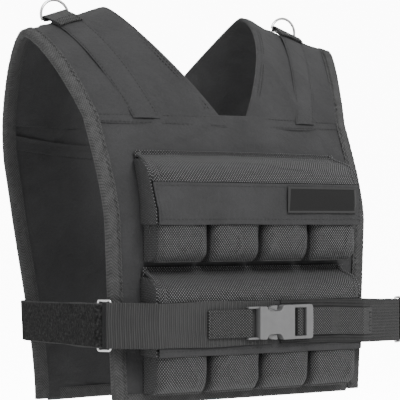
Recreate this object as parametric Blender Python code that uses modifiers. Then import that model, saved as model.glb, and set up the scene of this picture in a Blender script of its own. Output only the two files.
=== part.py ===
"""Weighted training vest in its worn form, with +Z up, the front towards -Y and the wearer's right at -X.

The origin is where the vest sits on the shoulders, midway between the two straps.
Every panel, strap and pocket lies on one body form. That form is a rounded shoulder line, and
front and back faces that fall from it as superellipse quarters.
"""

import math

import bmesh
import bpy
from mathutils import Vector

# Body form, in metres.
SHOULDER_SLOPE = 0.36
SHOULDER_ROUND = 0.040
NECK_HALF = 0.0905
SHOULDER_HALF = 0.200
SEAM_DROP = 0.130
FRONT_HEM_DROP = 0.430
BACK_HEM_DROP = 0.449
FRONT_DEPTH = 0.152
BACK_DEPTH = 0.110
FRONT_FALL = 0.220
BACK_FALL = 0.150
SHOULDER_FORWARD = 0.024
FORM_POWER = 1.5
CHEST_SETBACK = 0.010
BELLY_SETBACK = 0.002
BACK_SETBACK = 0.018
HEM_LEAN = 0.020
SETBACK_POWER = 1.6

# Outline of the panels and the yokes.
NECKLINE_HALF = 0.0152
NECK_CURVE = 1.3
ARMHOLE_CURVE = 0.8
FRONT_CHEST_HALF = 0.1645
FRONT_HEM_HALF = 0.1510
FRONT_SIDE_CURVE = 0.85
BACK_CHEST_HALF = 0.179
BACK_HEM_HALF = 0.137
BACK_SIDE_CURVE = 1.5

# Walls and clearances.
GAP = 0.0003
CURVE_GAP = 0.0009
PANEL_WALL = 0.003
YOKE_WALL = 0.005
TAPE_WALL = 0.0009
TAPE_WIDTH = 0.012
TAPE_TOP = 0.10
WEBBING_WALL = 0.0013
STRAP_WALL = 0.0022

# Strap bands, their loops and the rings on the shoulders.
BAND_WIDTH = 0.029
BAND_CREST_X = 0.150
BAND_SEAM_X = 0.102
RING_WIRE = 0.0032
RING_CLEARANCE = 0.0006
RING_STRAIGHT = 0.0008
LOOP_RUN = 0.028

# Pocket blocks on the front.
BLOCK_HALF = 0.1255
BLOCK_CENTRE = 0.003
POCKETS = 4
POCKET_GAP = 0.0035
POCKET_DEPTH = 0.0385
FLAP_WALL = 0.0026
UPPER_TOP_DROP = 0.167
UPPER_ROLL = 0.034
UPPER_BAND = 0.044
UPPER_POCKET = 0.083
LOWER_TOP_DROP = 0.290
LOWER_ROLL = 0.036
LOWER_BAND = 0.055
LOWER_POCKET = 0.095
LABEL_WIDTH = 0.090
LABEL_HEIGHT = 0.028
LABEL_WALL = 0.0012
LABEL_X = 0.075
LABEL_SHARE = 0.40

# Belt, buckle and the rings at its sides.
BELT_DROP = 0.3485
BACK_BELT_DROP = 0.3565
LEFT_BELT_SAG = 0.006
BELT_WIDTH = 0.047
SIDE_STRAP_WIDTH = 0.046
STRAP_RING_LENGTH = 0.013
STRAP_RING_WIRE = 0.0028
STRAP_FOLD = 0.018
RIGHT_RING = {"x": -0.168, "y": -0.157}
LEFT_RING = {"x": 0.214, "y": -0.148}
ELASTIC_END_X = 0.0125
WIDE_BAND_START_X = 0.021
NARROW_WIDTH = 0.0295
TAB_START_X = -0.0687
TAIL_END_X = 0.085
NARROW_END_X = 0.148
BUCKLE_HEIGHT = 0.0365
BUCKLE_THICK = 0.0100
BUCKLE_WALL = 0.0028
SOCKET_START_X = -0.0228
SOCKET_BODY_X = -0.0109
SOCKET_END_X = 0.0328
PLUG_END_X = 0.0574
BAR_WIDTH = 0.0036
BAR_THICK = 0.0030
END_BAR_WIDTH = 0.0085
PLUG_THICK = 0.0034
NOTCH_LENGTH = 0.0165
NOTCH_DEPTH = 0.0062
PRONG_HEIGHT = 0.0260
EDGE_ROUND = 0.0010

# Pocket front: height as a share from the bottom, depth as a share of the full depth.
POCKET_PROFILE = [
    {"height": 0.00, "depth": 0.62},
    {"height": 0.06, "depth": 0.86},
    {"height": 0.18, "depth": 1.00},
    {"height": 0.34, "depth": 1.02},
    {"height": 0.52, "depth": 0.97},
    {"height": 1.00, "depth": 0.93},
]

# Flap roll: height as a share from its lower edge, depth as a share of the full depth.
ROLL_PROFILE = [
    {"height": 0.00, "depth": 1.09},
    {"height": 0.22, "depth": 1.10},
    {"height": 0.45, "depth": 1.04},
    {"height": 0.66, "depth": 0.88},
    {"height": 0.84, "depth": 0.60},
    {"height": 0.95, "depth": 0.29},
    {"height": 1.00, "depth": 0.08},
]

COLOURS = {
    "cloth": {"colour": (0.050, 0.050, 0.053), "roughness": 0.85, "metallic": 0.0},
    "coarse": {"colour": (0.042, 0.042, 0.044), "roughness": 0.80, "metallic": 0.0},
    "tape": {"colour": (0.058, 0.058, 0.060), "roughness": 0.75, "metallic": 0.0},
    "webbing": {"colour": (0.046, 0.046, 0.048), "roughness": 0.70, "metallic": 0.0},
    "pile": {"colour": (0.038, 0.038, 0.040), "roughness": 0.95, "metallic": 0.0},
    "plastic": {"colour": (0.200, 0.200, 0.205), "roughness": 0.38, "metallic": 0.0},
    "chrome": {"colour": (0.800, 0.800, 0.820), "roughness": 0.12, "metallic": 1.0},
    "rubber": {"colour": (0.020, 0.020, 0.022), "roughness": 0.50, "metallic": 0.0},
}

FRONT = -1
BACK = 1
RIGHT = -1
LEFT = 1


def clear_scene():
    for obj in list(bpy.data.objects):
        bpy.data.objects.remove(obj, do_unlink=True)


def new_collection(name):
    collection = bpy.data.collections.new(name)
    bpy.context.scene.collection.children.link(collection)
    return collection


def material(slot):
    made = bpy.data.materials.get(slot)
    if made:
        return made
    made = bpy.data.materials.new(slot)
    made.use_nodes = True
    shader = made.node_tree.nodes["Principled BSDF"]
    look = COLOURS[slot]
    shader.inputs["Base Color"].default_value = (*look["colour"], 1.0)
    shader.inputs["Roughness"].default_value = look["roughness"]
    shader.inputs["Metallic"].default_value = look["metallic"]
    made.diffuse_color = (*look["colour"], 1.0)
    return made


def smooth_share(value, low, high):
    """0 at low, 1 at high, with an easy start and end."""
    share = min(max((value - low) / (high - low), 0.0), 1.0)
    return share * share * (3.0 - 2.0 * share)


def mix(first, second, share):
    return first + (second - first) * share


def table_value(rows, key, value, wanted):
    """The wanted column at this value of the key column, on straight lines between the rows."""
    for low, high in zip(rows, rows[1:]):
        if value <= high[key]:
            share = (value - low[key]) / (high[key] - low[key])
            return mix(low[wanted], high[wanted], max(share, 0.0))
    return rows[-1][wanted]


def crest_height(x):
    """Height of the shoulder line above the line where it meets the neck."""
    fall = math.hypot(x, SHOULDER_ROUND) - math.hypot(NECK_HALF, SHOULDER_ROUND)
    return 0.5 * YOKE_WALL - SHOULDER_SLOPE * fall


def edge_setback(side, x, z):
    """How far the face at x lies behind the middle of the same face."""
    if side == BACK:
        return BACK_SETBACK * (abs(x) / BACK_CHEST_HALF) ** SETBACK_POWER
    upward = smooth_share(z, -UPPER_TOP_DROP - UPPER_POCKET, -SEAM_DROP)
    most = mix(BELLY_SETBACK, CHEST_SETBACK, upward)
    return most * (abs(x) / FRONT_CHEST_HALF) ** SETBACK_POWER


def back_lean(z):
    """How far the back face comes forward below the waist."""
    return HEM_LEAN * smooth_share(-z, 0.5 * BACK_HEM_DROP, BACK_HEM_DROP)


def body_point(side, x, z):
    """Point of the body form on its front or back face."""
    depth, fall = (FRONT_DEPTH, FRONT_FALL) if side == FRONT else (BACK_DEPTH, BACK_FALL)
    drop = min(max(crest_height(x) - z, 0.0), fall)
    bulge = (1.0 - (1.0 - drop / fall) ** FORM_POWER) ** (1.0 / FORM_POWER)
    reach = (depth - edge_setback(side, x, z)) * bulge
    if side == BACK:
        reach -= back_lean(z)
    beyond = max((abs(x) - NECK_HALF) / (SHOULDER_HALF - NECK_HALF), 0.0)
    forward = SHOULDER_FORWARD * beyond**2.5 * (1.0 - bulge)
    return Vector((x, side * reach - forward, z))


def half_width(side, z):
    """Half the width of the lower panel at this height."""
    if side == FRONT:
        hem, chest, low, curve = FRONT_HEM_HALF, FRONT_CHEST_HALF, FRONT_HEM_DROP, FRONT_SIDE_CURVE
    else:
        hem, chest, low, curve = BACK_HEM_HALF, BACK_CHEST_HALF, BACK_HEM_DROP, BACK_SIDE_CURVE
    share = (z + low) / (low - SEAM_DROP)
    return mix(hem, chest, max(share, 0.0) ** curve)


def yoke_x(side, across, down):
    """Distance from the middle: across runs from the neck to the armhole, down from crest to seam."""
    chest = FRONT_CHEST_HALF if side == FRONT else BACK_CHEST_HALF
    neck = mix(NECK_HALF, NECKLINE_HALF, down**NECK_CURVE)
    arm = mix(SHOULDER_HALF, chest, down**ARMHOLE_CURVE)
    return mix(neck, arm, across)


def yoke_point(hand, across, along):
    """Point of a yoke: along runs from -1 at the front seam over the crest to 1 at the back seam."""
    side = FRONT if along < 0.0 else BACK
    down = abs(along) ** 1.6
    x = yoke_x(side, across, down)
    z = mix(crest_height(x), -SEAM_DROP, down)
    point = body_point(side, x, z)
    return Vector((hand * point.x, point.y, point.z))


def outward(place, u, v):
    """Unit normal of a surface at u, v, pointing away from the wearer."""
    step = 1e-3
    across = place(u + step, v) - place(u - step, v)
    along = place(u, v + step) - place(u, v - step)
    normal = across.cross(along).normalized()
    point = place(u, v)
    core = Vector((0.5 * point.x, 0.0, point.z - 0.08))
    return normal if normal.dot(point - core) > 0.0 else -normal


def lifted(place, u, v, lift):
    return place(u, v) + outward(place, u, v) * lift


def add_object(name, mesh, slot, parts):
    obj = bpy.data.objects.new(name, mesh)
    mesh.materials.append(material(slot))
    mesh.shade_smooth()
    mesh.set_sharp_from_angle(angle=math.radians(35.0))
    parts.objects.link(obj)
    return obj


def sheet(parts, name, slot, place, columns, rows, wall):
    """A cloth piece: an open grid placed by place(u, v) for u, v from 0 to 1, thickened by Solidify."""
    mesh = bpy.data.meshes.new(name)
    grid = bmesh.new()
    bmesh.ops.create_grid(grid, x_segments=columns, y_segments=rows, size=0.5)
    for vertex in grid.verts:
        vertex.co = place(vertex.co.x + 0.5, vertex.co.y + 0.5)
    grid.to_mesh(mesh)
    grid.free()
    obj = add_object(name, mesh, slot, parts)
    solidify = obj.modifiers.new("wall", "SOLIDIFY")
    solidify.thickness = wall
    solidify.offset = 0.0
    solidify.use_even_offset = True
    return obj


def soft_block(parts, name, slot, place, cuts):
    """A filled piece: a cube cut into a grid and placed by place(a, b, c), each from -1 to 1."""
    mesh = bpy.data.meshes.new(name)
    cage = bmesh.new()
    bmesh.ops.create_cube(cage, size=2.0)
    bmesh.ops.subdivide_edges(cage, edges=cage.edges[:], cuts=cuts, use_grid_fill=True)
    for vertex in cage.verts:
        vertex.co = place(*vertex.co)
    if cage.calc_volume(signed=True) < 0.0:
        bmesh.ops.reverse_faces(cage, faces=cage.faces[:])
    cage.to_mesh(mesh)
    cage.free()
    return add_object(name, mesh, slot, parts)


def level_face(side, x, z, lift):
    """Point in front of a face, moved out level, so that its height stays."""
    step = 1e-3
    across = body_point(side, x + step, z) - body_point(side, x - step, z)
    level = Vector((across.y, -across.x, 0.0)).normalized() * -side
    return body_point(side, x, z) + level * lift


def front_face(x, z, lift):
    return level_face(FRONT, x, z, lift)


def back_face(x, z, lift):
    return level_face(BACK, x, z, lift)


def make_panel(parts, name, side, hem_drop):
    def place(u, v):
        z = mix(-hem_drop, -SEAM_DROP - 2.0 * GAP, v)
        return body_point(side, (2.0 * u - 1.0) * half_width(side, z), z)

    return sheet(parts, name, "cloth", place, 16, 12, PANEL_WALL)


def make_yoke(parts, name, hand):
    def place(u, v):
        return yoke_point(hand, u, 2.0 * v - 1.0)

    return sheet(parts, name, "cloth", place, 6, 28, YOKE_WALL)


def side_edge(hand, side, share):
    """Edge point and its inward and outward directions: share runs from the hem to the tape's top."""
    turn = 0.62
    if share < turn:
        hem_drop = FRONT_HEM_DROP if side == FRONT else BACK_HEM_DROP
        z = mix(-hem_drop, -SEAM_DROP, share / turn)
        x = hand * half_width(side, z)
        edge = body_point(side, x, z)
        inner = body_point(side, x - hand * TAPE_WIDTH, z)
        normal = outward(lambda u, v: body_point(side, u, v), x, z)
    else:
        along = side * mix(1.0, TAPE_TOP, (share - turn) / (1.0 - turn))
        edge = yoke_point(hand, 1.0, along)
        inner = yoke_point(hand, 0.9, along)
        normal = outward(lambda u, v: yoke_point(hand, u, v), 1.0, along)
    return edge, (inner - edge).normalized(), normal


def make_binding(parts, name, hand, side):
    """Edge tape folded over the side of a panel and the armhole above it."""
    clear = 0.5 * YOKE_WALL + CURVE_GAP + 0.5 * TAPE_WALL

    def place(u, v):
        edge, inward, normal = side_edge(hand, side, v)
        fold = 4.0 * u
        if fold < 1.0:
            return edge + inward * mix(TAPE_WIDTH, 0.0, fold) + normal * clear
        if fold > 3.0:
            return edge + inward * mix(0.0, TAPE_WIDTH, fold - 3.0) - normal * clear
        turn = math.pi * (fold - 1.0) / 2.0
        return edge - inward * clear * math.sin(turn) + normal * clear * math.cos(turn)

    return sheet(parts, name, "tape", place, 8, 20, TAPE_WALL)


def band_across(side, down):
    """Share across the yoke where the strap band's middle lies."""
    centre = mix(BAND_CREST_X, BAND_SEAM_X, down**0.9)
    neck = yoke_x(side, 0.0, down)
    arm = yoke_x(side, 1.0, down)
    return (centre - neck) / (arm - neck), BAND_WIDTH / (arm - neck)


def make_strap_band(parts, name, hand):
    """Band sewn on the front of a strap, from the chest seam up to the loop of the ring."""
    lift = 0.5 * YOKE_WALL + GAP + 0.5 * WEBBING_WALL

    def place(u, v):
        along = mix(-0.99, -0.06, v)
        centre, width = band_across(FRONT, abs(along) ** 1.6)
        across = centre + (u - 0.5) * width
        return lifted(lambda a, b: yoke_point(hand, a, b), across, along, lift)

    return sheet(parts, name, "cloth", place, 2, 18, WEBBING_WALL)


def loop_radius():
    return 0.5 * RING_WIRE + RING_CLEARANCE + 0.5 * WEBBING_WALL


def loop_lift():
    """Height of the loop's lower layer above the yoke's middle: it lies on the strap band."""
    return 0.5 * YOKE_WALL + 3.0 * GAP + 1.5 * WEBBING_WALL


def ring_frame(hand):
    """Centre of a shoulder ring's bar, with its bar, up and forward directions."""
    half = 0.5 * BAND_WIDTH
    crest = Vector((hand * BAND_CREST_X, 0.0, crest_height(BAND_CREST_X)))
    low = Vector((hand * (BAND_CREST_X + half), 0.0, crest_height(BAND_CREST_X + half)))
    bar = (low - crest).normalized() * hand
    up = Vector((-bar.z, 0.0, bar.x))
    return crest + up * (loop_lift() + loop_radius()), bar, up, Vector((0.0, -1.0, 0.0))


def make_ring_loop(parts, name, hand):
    """Webbing loop that holds a ring's bar: two layers lie on the band and part round the bar."""
    centre, bar, up, forward = ring_frame(hand)
    radius = loop_radius()
    turns = 10
    lower = (1.0, 0.72, 0.45, 0.22)
    upper = (0.45, 0.72, 1.0)
    last = len(lower) + turns + len(upper)

    def foot(u, run, lift):
        """Point of a layer this far forward of the crest."""
        along = -((run / FRONT_DEPTH) ** 0.9)
        middle, width = band_across(FRONT, abs(along) ** 1.6)
        return lifted(lambda a, b: yoke_point(hand, a, b), middle + (u - 0.5) * width, along, lift)

    def place(u, v):
        step = int(round(v * last)) - len(lower)
        if step < 0:
            return foot(u, LOOP_RUN * lower[step], loop_lift())
        if step > turns:
            return foot(u, LOOP_RUN * upper[step - turns - 1], loop_lift() + WEBBING_WALL + GAP)
        angle = math.radians(mix(-75.0, -300.0, step / turns))
        turned = forward * radius * math.cos(angle) + up * radius * math.sin(angle)
        return centre + bar * (hand * (u - 0.5) * BAND_WIDTH) + turned

    return sheet(parts, name, "webbing", place, 2, last, WEBBING_WALL)


def wire_loop(parts, name, points, thickness, location):
    """Closed metal wire through these points."""
    wire = bpy.data.curves.new(name, "CURVE")
    wire.dimensions = "3D"
    wire.bevel_depth = 0.5 * thickness
    wire.bevel_resolution = 2
    line = wire.splines.new("POLY")
    line.points.add(len(points) - 1)
    for target, point in zip(line.points, points):
        target.co = (*point, 1.0)
    line.use_cyclic_u = True
    wire.materials.append(material("chrome"))
    ring = bpy.data.objects.new(name, wire)
    ring.location = location
    parts.objects.link(ring)
    return ring


def make_shoulder_ring(parts, name, hand):
    """D-shaped wire ring: a straight bar in the loop and a round bow above it."""
    centre, bar, up, _ = ring_frame(hand)
    half = 0.5 * BAND_WIDTH + RING_CLEARANCE + 0.5 * RING_WIRE
    points = [bar * -half, bar * half]
    bow = 14
    for step in range(bow + 1):
        angle = math.pi * step / bow
        rise = RING_STRAIGHT + half * math.sin(angle)
        points.append(bar * (half * math.cos(angle)) + up * rise)
    return wire_loop(parts, name, points, RING_WIRE, centre)


def block_x(share):
    return BLOCK_CENTRE + (2.0 * share - 1.0) * BLOCK_HALF


def make_pocket(parts, name, number, bottom, height):
    """One weight pocket with a crowned front: its back lies on the panel."""
    pitch = 2.0 * BLOCK_HALF / POCKETS
    centre = BLOCK_CENTRE - BLOCK_HALF + pitch * (number + 0.5)
    half = 0.5 * (pitch - POCKET_GAP)
    base = 0.5 * PANEL_WALL + CURVE_GAP
    crown = 0.16

    def place(a, b, c):
        share = 0.5 * (c + 1.0)
        deep = POCKET_DEPTH * table_value(POCKET_PROFILE, "height", share, "depth")
        deep *= 1.0 - crown * abs(a) ** 4
        lift = base + (deep - base) * 0.5 * (b + 1.0)
        return front_face(centre + a * half, bottom + height * share, lift)

    return soft_block(parts, name, "coarse", place, 4)


def make_roll(parts, name, bottom, height):
    """Filled upper part of a flap, from its top seam down to the smooth band."""
    base = 0.5 * PANEL_WALL + CURVE_GAP

    def place(a, b, c):
        share = 0.5 * (c + 1.0)
        deep = POCKET_DEPTH * table_value(ROLL_PROFILE, "height", share, "depth")
        deep = max(deep * (1.0 - 0.10 * abs(a) ** 8), base + FLAP_WALL)
        lift = base + (deep - base) * 0.5 * (b + 1.0)
        x = BLOCK_CENTRE + a * (BLOCK_HALF - 0.004 * share**3)
        return front_face(x, bottom + height * share, lift)

    return soft_block(parts, name, "coarse", place, 6)


def flap_lift():
    return 1.02 * POCKET_DEPTH + 2.0 * GAP + 0.5 * FLAP_WALL


def make_flap_band(parts, name, bottom, height):
    """Smooth band along the lower edge of a flap, hanging over the pockets."""

    def place(u, v):
        return front_face(block_x(u), bottom + height * v, flap_lift())

    return sheet(parts, name, "cloth", place, 16, 4, FLAP_WALL)


def make_block(parts, prefix, top_drop, roll, band, pocket):
    top = -top_drop
    make_roll(parts, prefix + "_flap_roll", top - roll, roll)
    make_flap_band(parts, prefix + "_flap_band", top - roll - GAP - band, band)
    bottom = top - roll - GAP - pocket
    for number in range(POCKETS):
        make_pocket(parts, f"{prefix}_pocket_{number + 1}", number, bottom, pocket)


def make_label(parts):
    middle = -UPPER_TOP_DROP - UPPER_ROLL - LABEL_SHARE * UPPER_BAND
    lift = flap_lift() + 0.5 * FLAP_WALL + 3.0 * GAP + 0.5 * LABEL_WALL

    def place(u, v):
        return front_face(LABEL_X + (u - 0.5) * LABEL_WIDTH, middle + (v - 0.5) * LABEL_HEIGHT, lift)

    return sheet(parts, "front_label", "rubber", place, 8, 2, LABEL_WALL)


def belt_lift():
    return flap_lift() + 0.5 * FLAP_WALL + 3.0 * GAP + 0.5 * STRAP_WALL


def belt_sag(x):
    """How far the belt hangs below its level towards the ring at the wearer's left."""
    return LEFT_BELT_SAG * smooth_share(x, PLUG_END_X, LEFT_RING["x"])


def buckle_point(x, lift):
    """Point in front of the flat face on which the buckle lies."""
    face = body_point(FRONT, 0.5 * (SOCKET_START_X + PLUG_END_X), -BELT_DROP).y
    return Vector((x, face - lift, -BELT_DROP))


def belt_middle(x, lift):
    """Middle of a belt layer in front of the block."""
    point = front_face(x, -BELT_DROP, lift)
    point.z -= belt_sag(x)
    return point


def smooth_path(points, steps):
    """Points of a Catmull-Rom curve through these points."""
    padded = [points[0] * 2.0 - points[1], *points, points[-1] * 2.0 - points[-2]]
    path = []
    for i in range(1, len(padded) - 2):
        before, first, second, after = padded[i - 1 : i + 3]
        for step in range(steps):
            t = step / steps
            curve = first * 2.0 + (second - before) * t
            curve += (before * 2.0 - first * 5.0 + second * 4.0 - after) * t**2
            curve += (first * 3.0 - before - second * 3.0 + after) * t**3
            path.append(curve * 0.5)
    return [*path, points[-1].copy()]


def fold_round(bar, heading, inner, wall):
    """Plan points of a strap end that turns round an upright bar and comes back on the inner side."""
    radius = 0.5 * STRAP_RING_WIRE + 3.0 * GAP + 0.5 * wall
    path = []
    for step in range(7):
        angle = math.pi * step / 6
        path.append(bar + heading * radius * math.sin(angle) - inner * radius * math.cos(angle))
    path.append(bar + inner * radius - heading * 0.5 * STRAP_FOLD)
    path.append(bar + inner * radius - heading * STRAP_FOLD)
    return path


def upright_strip(parts, name, slot, path, width, wall):
    """Strap standing on edge, whose middle follows a path in plan."""

    def place(u, v):
        point = path[int(round(u * (len(path) - 1)))]
        return point + Vector((0.0, 0.0, (v - 0.5) * width))

    return sheet(parts, name, slot, place, len(path) - 1, 2, wall)


def strap_ring(hand):
    """Front and rear bar of the ring between the belt and a side strap, and the belt's heading there."""
    row = RIGHT_RING if hand == RIGHT else LEFT_RING
    middle = Vector((row["x"], row["y"], -BELT_DROP - belt_sag(row["x"])))
    corner = belt_middle(BLOCK_CENTRE + hand * BLOCK_HALF, belt_lift())
    heading = middle - corner
    heading.z = 0.0
    heading.normalize()
    reach = heading * 0.5 * STRAP_RING_LENGTH
    return middle - reach, middle + reach, heading


def make_strap_ring(parts, name, hand):
    front_bar, rear_bar, _ = strap_ring(hand)
    centre = (front_bar + rear_bar) * 0.5
    reach = (rear_bar - front_bar) * 0.5
    tall = 0.5 * BELT_WIDTH + RING_CLEARANCE + 0.5 * STRAP_RING_WIRE
    rise = Vector((0.0, 0.0, tall))
    corners = [-reach - rise, reach - rise, reach + rise, rise - reach]
    return wire_loop(parts, name, corners, STRAP_RING_WIRE, centre)


def belt_path(hand, end_x):
    """Path of the front belt from end_x outwards to the ring on this side, folded round it."""
    bar, _, heading = strap_ring(hand)
    inner = Vector((heading.y, -heading.x, 0.0)) * -hand
    corner = BLOCK_CENTRE + hand * BLOCK_HALF
    points = [belt_middle(mix(end_x, corner, share / 4), belt_lift()) for share in range(5)]
    return smooth_path(points, 2) + fold_round(bar, heading, inner, STRAP_WALL)


def back_strap_lift():
    return 0.5 * YOKE_WALL + CURVE_GAP + TAPE_WALL + GAP + 0.5 * STRAP_WALL


def side_strap_path(hand):
    """Path of a side strap from the edge of the back panel forward to the ring on this side."""
    _, bar, _ = strap_ring(hand)
    edge_x = half_width(BACK, -BACK_BELT_DROP)
    lift = back_strap_lift()
    corner = back_face(hand * edge_x, -BACK_BELT_DROP, lift + 0.5 * STRAP_WALL)
    turn = Vector((hand * (edge_x + 1.6 * lift), corner.y - 0.4 * lift, -BACK_BELT_DROP))
    beside = Vector((hand * (edge_x + 2.2 * lift), corner.y - 4.0 * lift, -BACK_BELT_DROP))
    heading = (bar - beside).normalized()
    heading.z = 0.0
    heading.normalize()
    inner = Vector((heading.y, -heading.x, 0.0)) * hand
    fold = fold_round(bar, heading, inner, STRAP_WALL)
    return smooth_path([corner, turn, beside, mix(beside, fold[0], 0.5), fold[0]], 4)[:-1] + fold


def make_side_strap(parts, name, hand):
    """Strap that leaves the back panel with the lean of that panel and stands upright at its ring."""
    path = side_strap_path(hand)

    def place(u, v):
        point = path[int(round(u * (len(path) - 1)))]
        rise = (v - 0.5) * SIDE_STRAP_WIDTH
        lean = back_lean(rise - BACK_BELT_DROP) - back_lean(-BACK_BELT_DROP)
        return point + Vector((0.0, -lean * (1.0 - u), rise))

    return sheet(parts, name, "pile", place, len(path) - 1, 2, STRAP_WALL)


def make_back_strap(parts):
    edge_x = half_width(BACK, -BACK_BELT_DROP) - GAP

    def place(u, v):
        z = -BACK_BELT_DROP + (v - 0.5) * SIDE_STRAP_WIDTH
        return back_face(mix(-edge_x, edge_x, u), z, back_strap_lift())

    return sheet(parts, "back_strap", "pile", place, 16, 2, STRAP_WALL)


def narrow_lift(layer):
    """Height of a layer of the narrow webbing, counted from the one that lies on the belt."""
    return belt_lift() + 0.5 * STRAP_WALL + GAP + 0.5 * WEBBING_WALL + layer * (WEBBING_WALL + GAP)


def bar_lift():
    """Height of the buckle's bars: the webbing turns round them from its lowest layer."""
    return narrow_lift(0) + 0.5 * WEBBING_WALL + GAP + 0.5 * BAR_THICK


def square_turn(angle):
    """Sine and cosine of an angle, on a path with the full corners that clear a square bar."""
    sine, cosine = math.sin(angle), math.cos(angle)
    return abs(sine) ** 0.4, math.copysign(abs(cosine) ** 0.4, cosine)


def make_buckle_tab(parts):
    """Narrow webbing sewn on the elastic, doubled round the bar of the socket."""
    bar_x = SOCKET_START_X + 0.5 * BAR_WIDTH
    reach = 0.5 * BAR_WIDTH + GAP + 0.5 * WEBBING_WALL
    rise = 0.5 * BAR_THICK + GAP + 0.5 * WEBBING_WALL
    path = [belt_middle(TAB_START_X, narrow_lift(0)), belt_middle(mix(TAB_START_X, bar_x, 0.5), narrow_lift(0))]
    path.append(buckle_point(bar_x - BAR_WIDTH, narrow_lift(0)))
    for step in range(9):
        across, along = square_turn(math.pi * step / 8)
        path.append(buckle_point(bar_x + reach * across, bar_lift() - rise * along))
    path.append(buckle_point(bar_x - 0.8 * reach, bar_lift() + rise))
    path.append(buckle_point(bar_x - 3.0 * BAR_WIDTH, narrow_lift(1.4)))
    path.append(belt_middle(mix(TAB_START_X, bar_x, 0.4), narrow_lift(1)))
    path.append(belt_middle(TAB_START_X, narrow_lift(1)))
    return upright_strip(parts, "buckle_tab", "webbing", path, NARROW_WIDTH, WEBBING_WALL)


def middle_bar_x():
    return mix(SOCKET_END_X, PLUG_END_X - END_BAR_WIDTH, 0.5)


def make_long_webbing(parts):
    """Narrow webbing that goes round the plug's middle bar, under its end bar and along the belt."""
    bar_x = middle_bar_x()
    reach = 0.5 * BAR_WIDTH + GAP + 0.5 * WEBBING_WALL
    rise = 0.5 * PLUG_THICK + GAP + 0.5 * WEBBING_WALL
    path = [belt_middle(TAIL_END_X, narrow_lift(0)), belt_middle(bar_x + reach, narrow_lift(0))]
    path.append(buckle_point(bar_x - 0.5 * reach, narrow_lift(0.1)))
    path.append(buckle_point(bar_x - reach, plug_lift() - 0.5 * PLUG_THICK))
    for step in range(7):
        across, along = square_turn(math.pi * step / 6)
        path.append(buckle_point(bar_x - reach * along, plug_lift() + rise * across))
    path.append(buckle_point(bar_x + 1.6 * reach, narrow_lift(1.3)))
    path.append(buckle_point(PLUG_END_X - END_BAR_WIDTH, narrow_lift(1)))
    path.append(belt_middle(TAIL_END_X, narrow_lift(1)))
    path.append(belt_middle(TAIL_END_X + 8.0 * WEBBING_WALL, narrow_lift(0.1)))
    corner = BLOCK_CENTRE + BLOCK_HALF
    path += [belt_middle(mix(TAIL_END_X, corner, share / 4), narrow_lift(0.1)) for share in (2, 3, 4)]
    _, _, heading = strap_ring(LEFT)
    outer = Vector((heading.y, -heading.x, 0.0))
    path.append(path[-1] + heading * (NARROW_END_X - corner) + outer * CURVE_GAP)
    return upright_strip(parts, "long_webbing", "webbing", path, NARROW_WIDTH, WEBBING_WALL)


def plug_lift():
    """Height of the plug's frame: two layers of webbing run under its end bar."""
    return narrow_lift(1) + 0.5 * WEBBING_WALL + GAP + 0.5 * PLUG_THICK


def new_box(name, low, high):
    """Box between two corners."""
    mesh = bpy.data.meshes.new(name)
    cage = bmesh.new()
    bmesh.ops.create_cube(cage, size=1.0)
    for vertex in cage.verts:
        for axis in range(3):
            vertex.co[axis] = mix(low[axis], high[axis], vertex.co[axis] + 0.5)
    cage.to_mesh(mesh)
    cage.free()
    return bpy.data.objects.new(name, mesh)


def buckle_box(name, start_x, end_x, low_lift, high_lift, low, high):
    """Box on the front of the belt: its faces lie at these heights above the panel."""
    front_low = buckle_point(start_x, high_lift) + Vector((0.0, 0.0, low))
    rear_high = buckle_point(end_x, low_lift) + Vector((0.0, 0.0, high))
    return new_box(name, front_low, rear_high)


def rounded(obj, width):
    bevel = obj.modifiers.new("round", "BEVEL")
    bevel.width = width
    bevel.segments = 2
    bevel.limit_method = "ANGLE"


def combine(target, tool, operation, tools):
    tools.objects.link(tool)
    tool.hide_render = True
    tool.display_type = "WIRE"
    cut = target.modifiers.new(tool.name, "BOOLEAN")
    cut.object = tool
    cut.operation = operation


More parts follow.
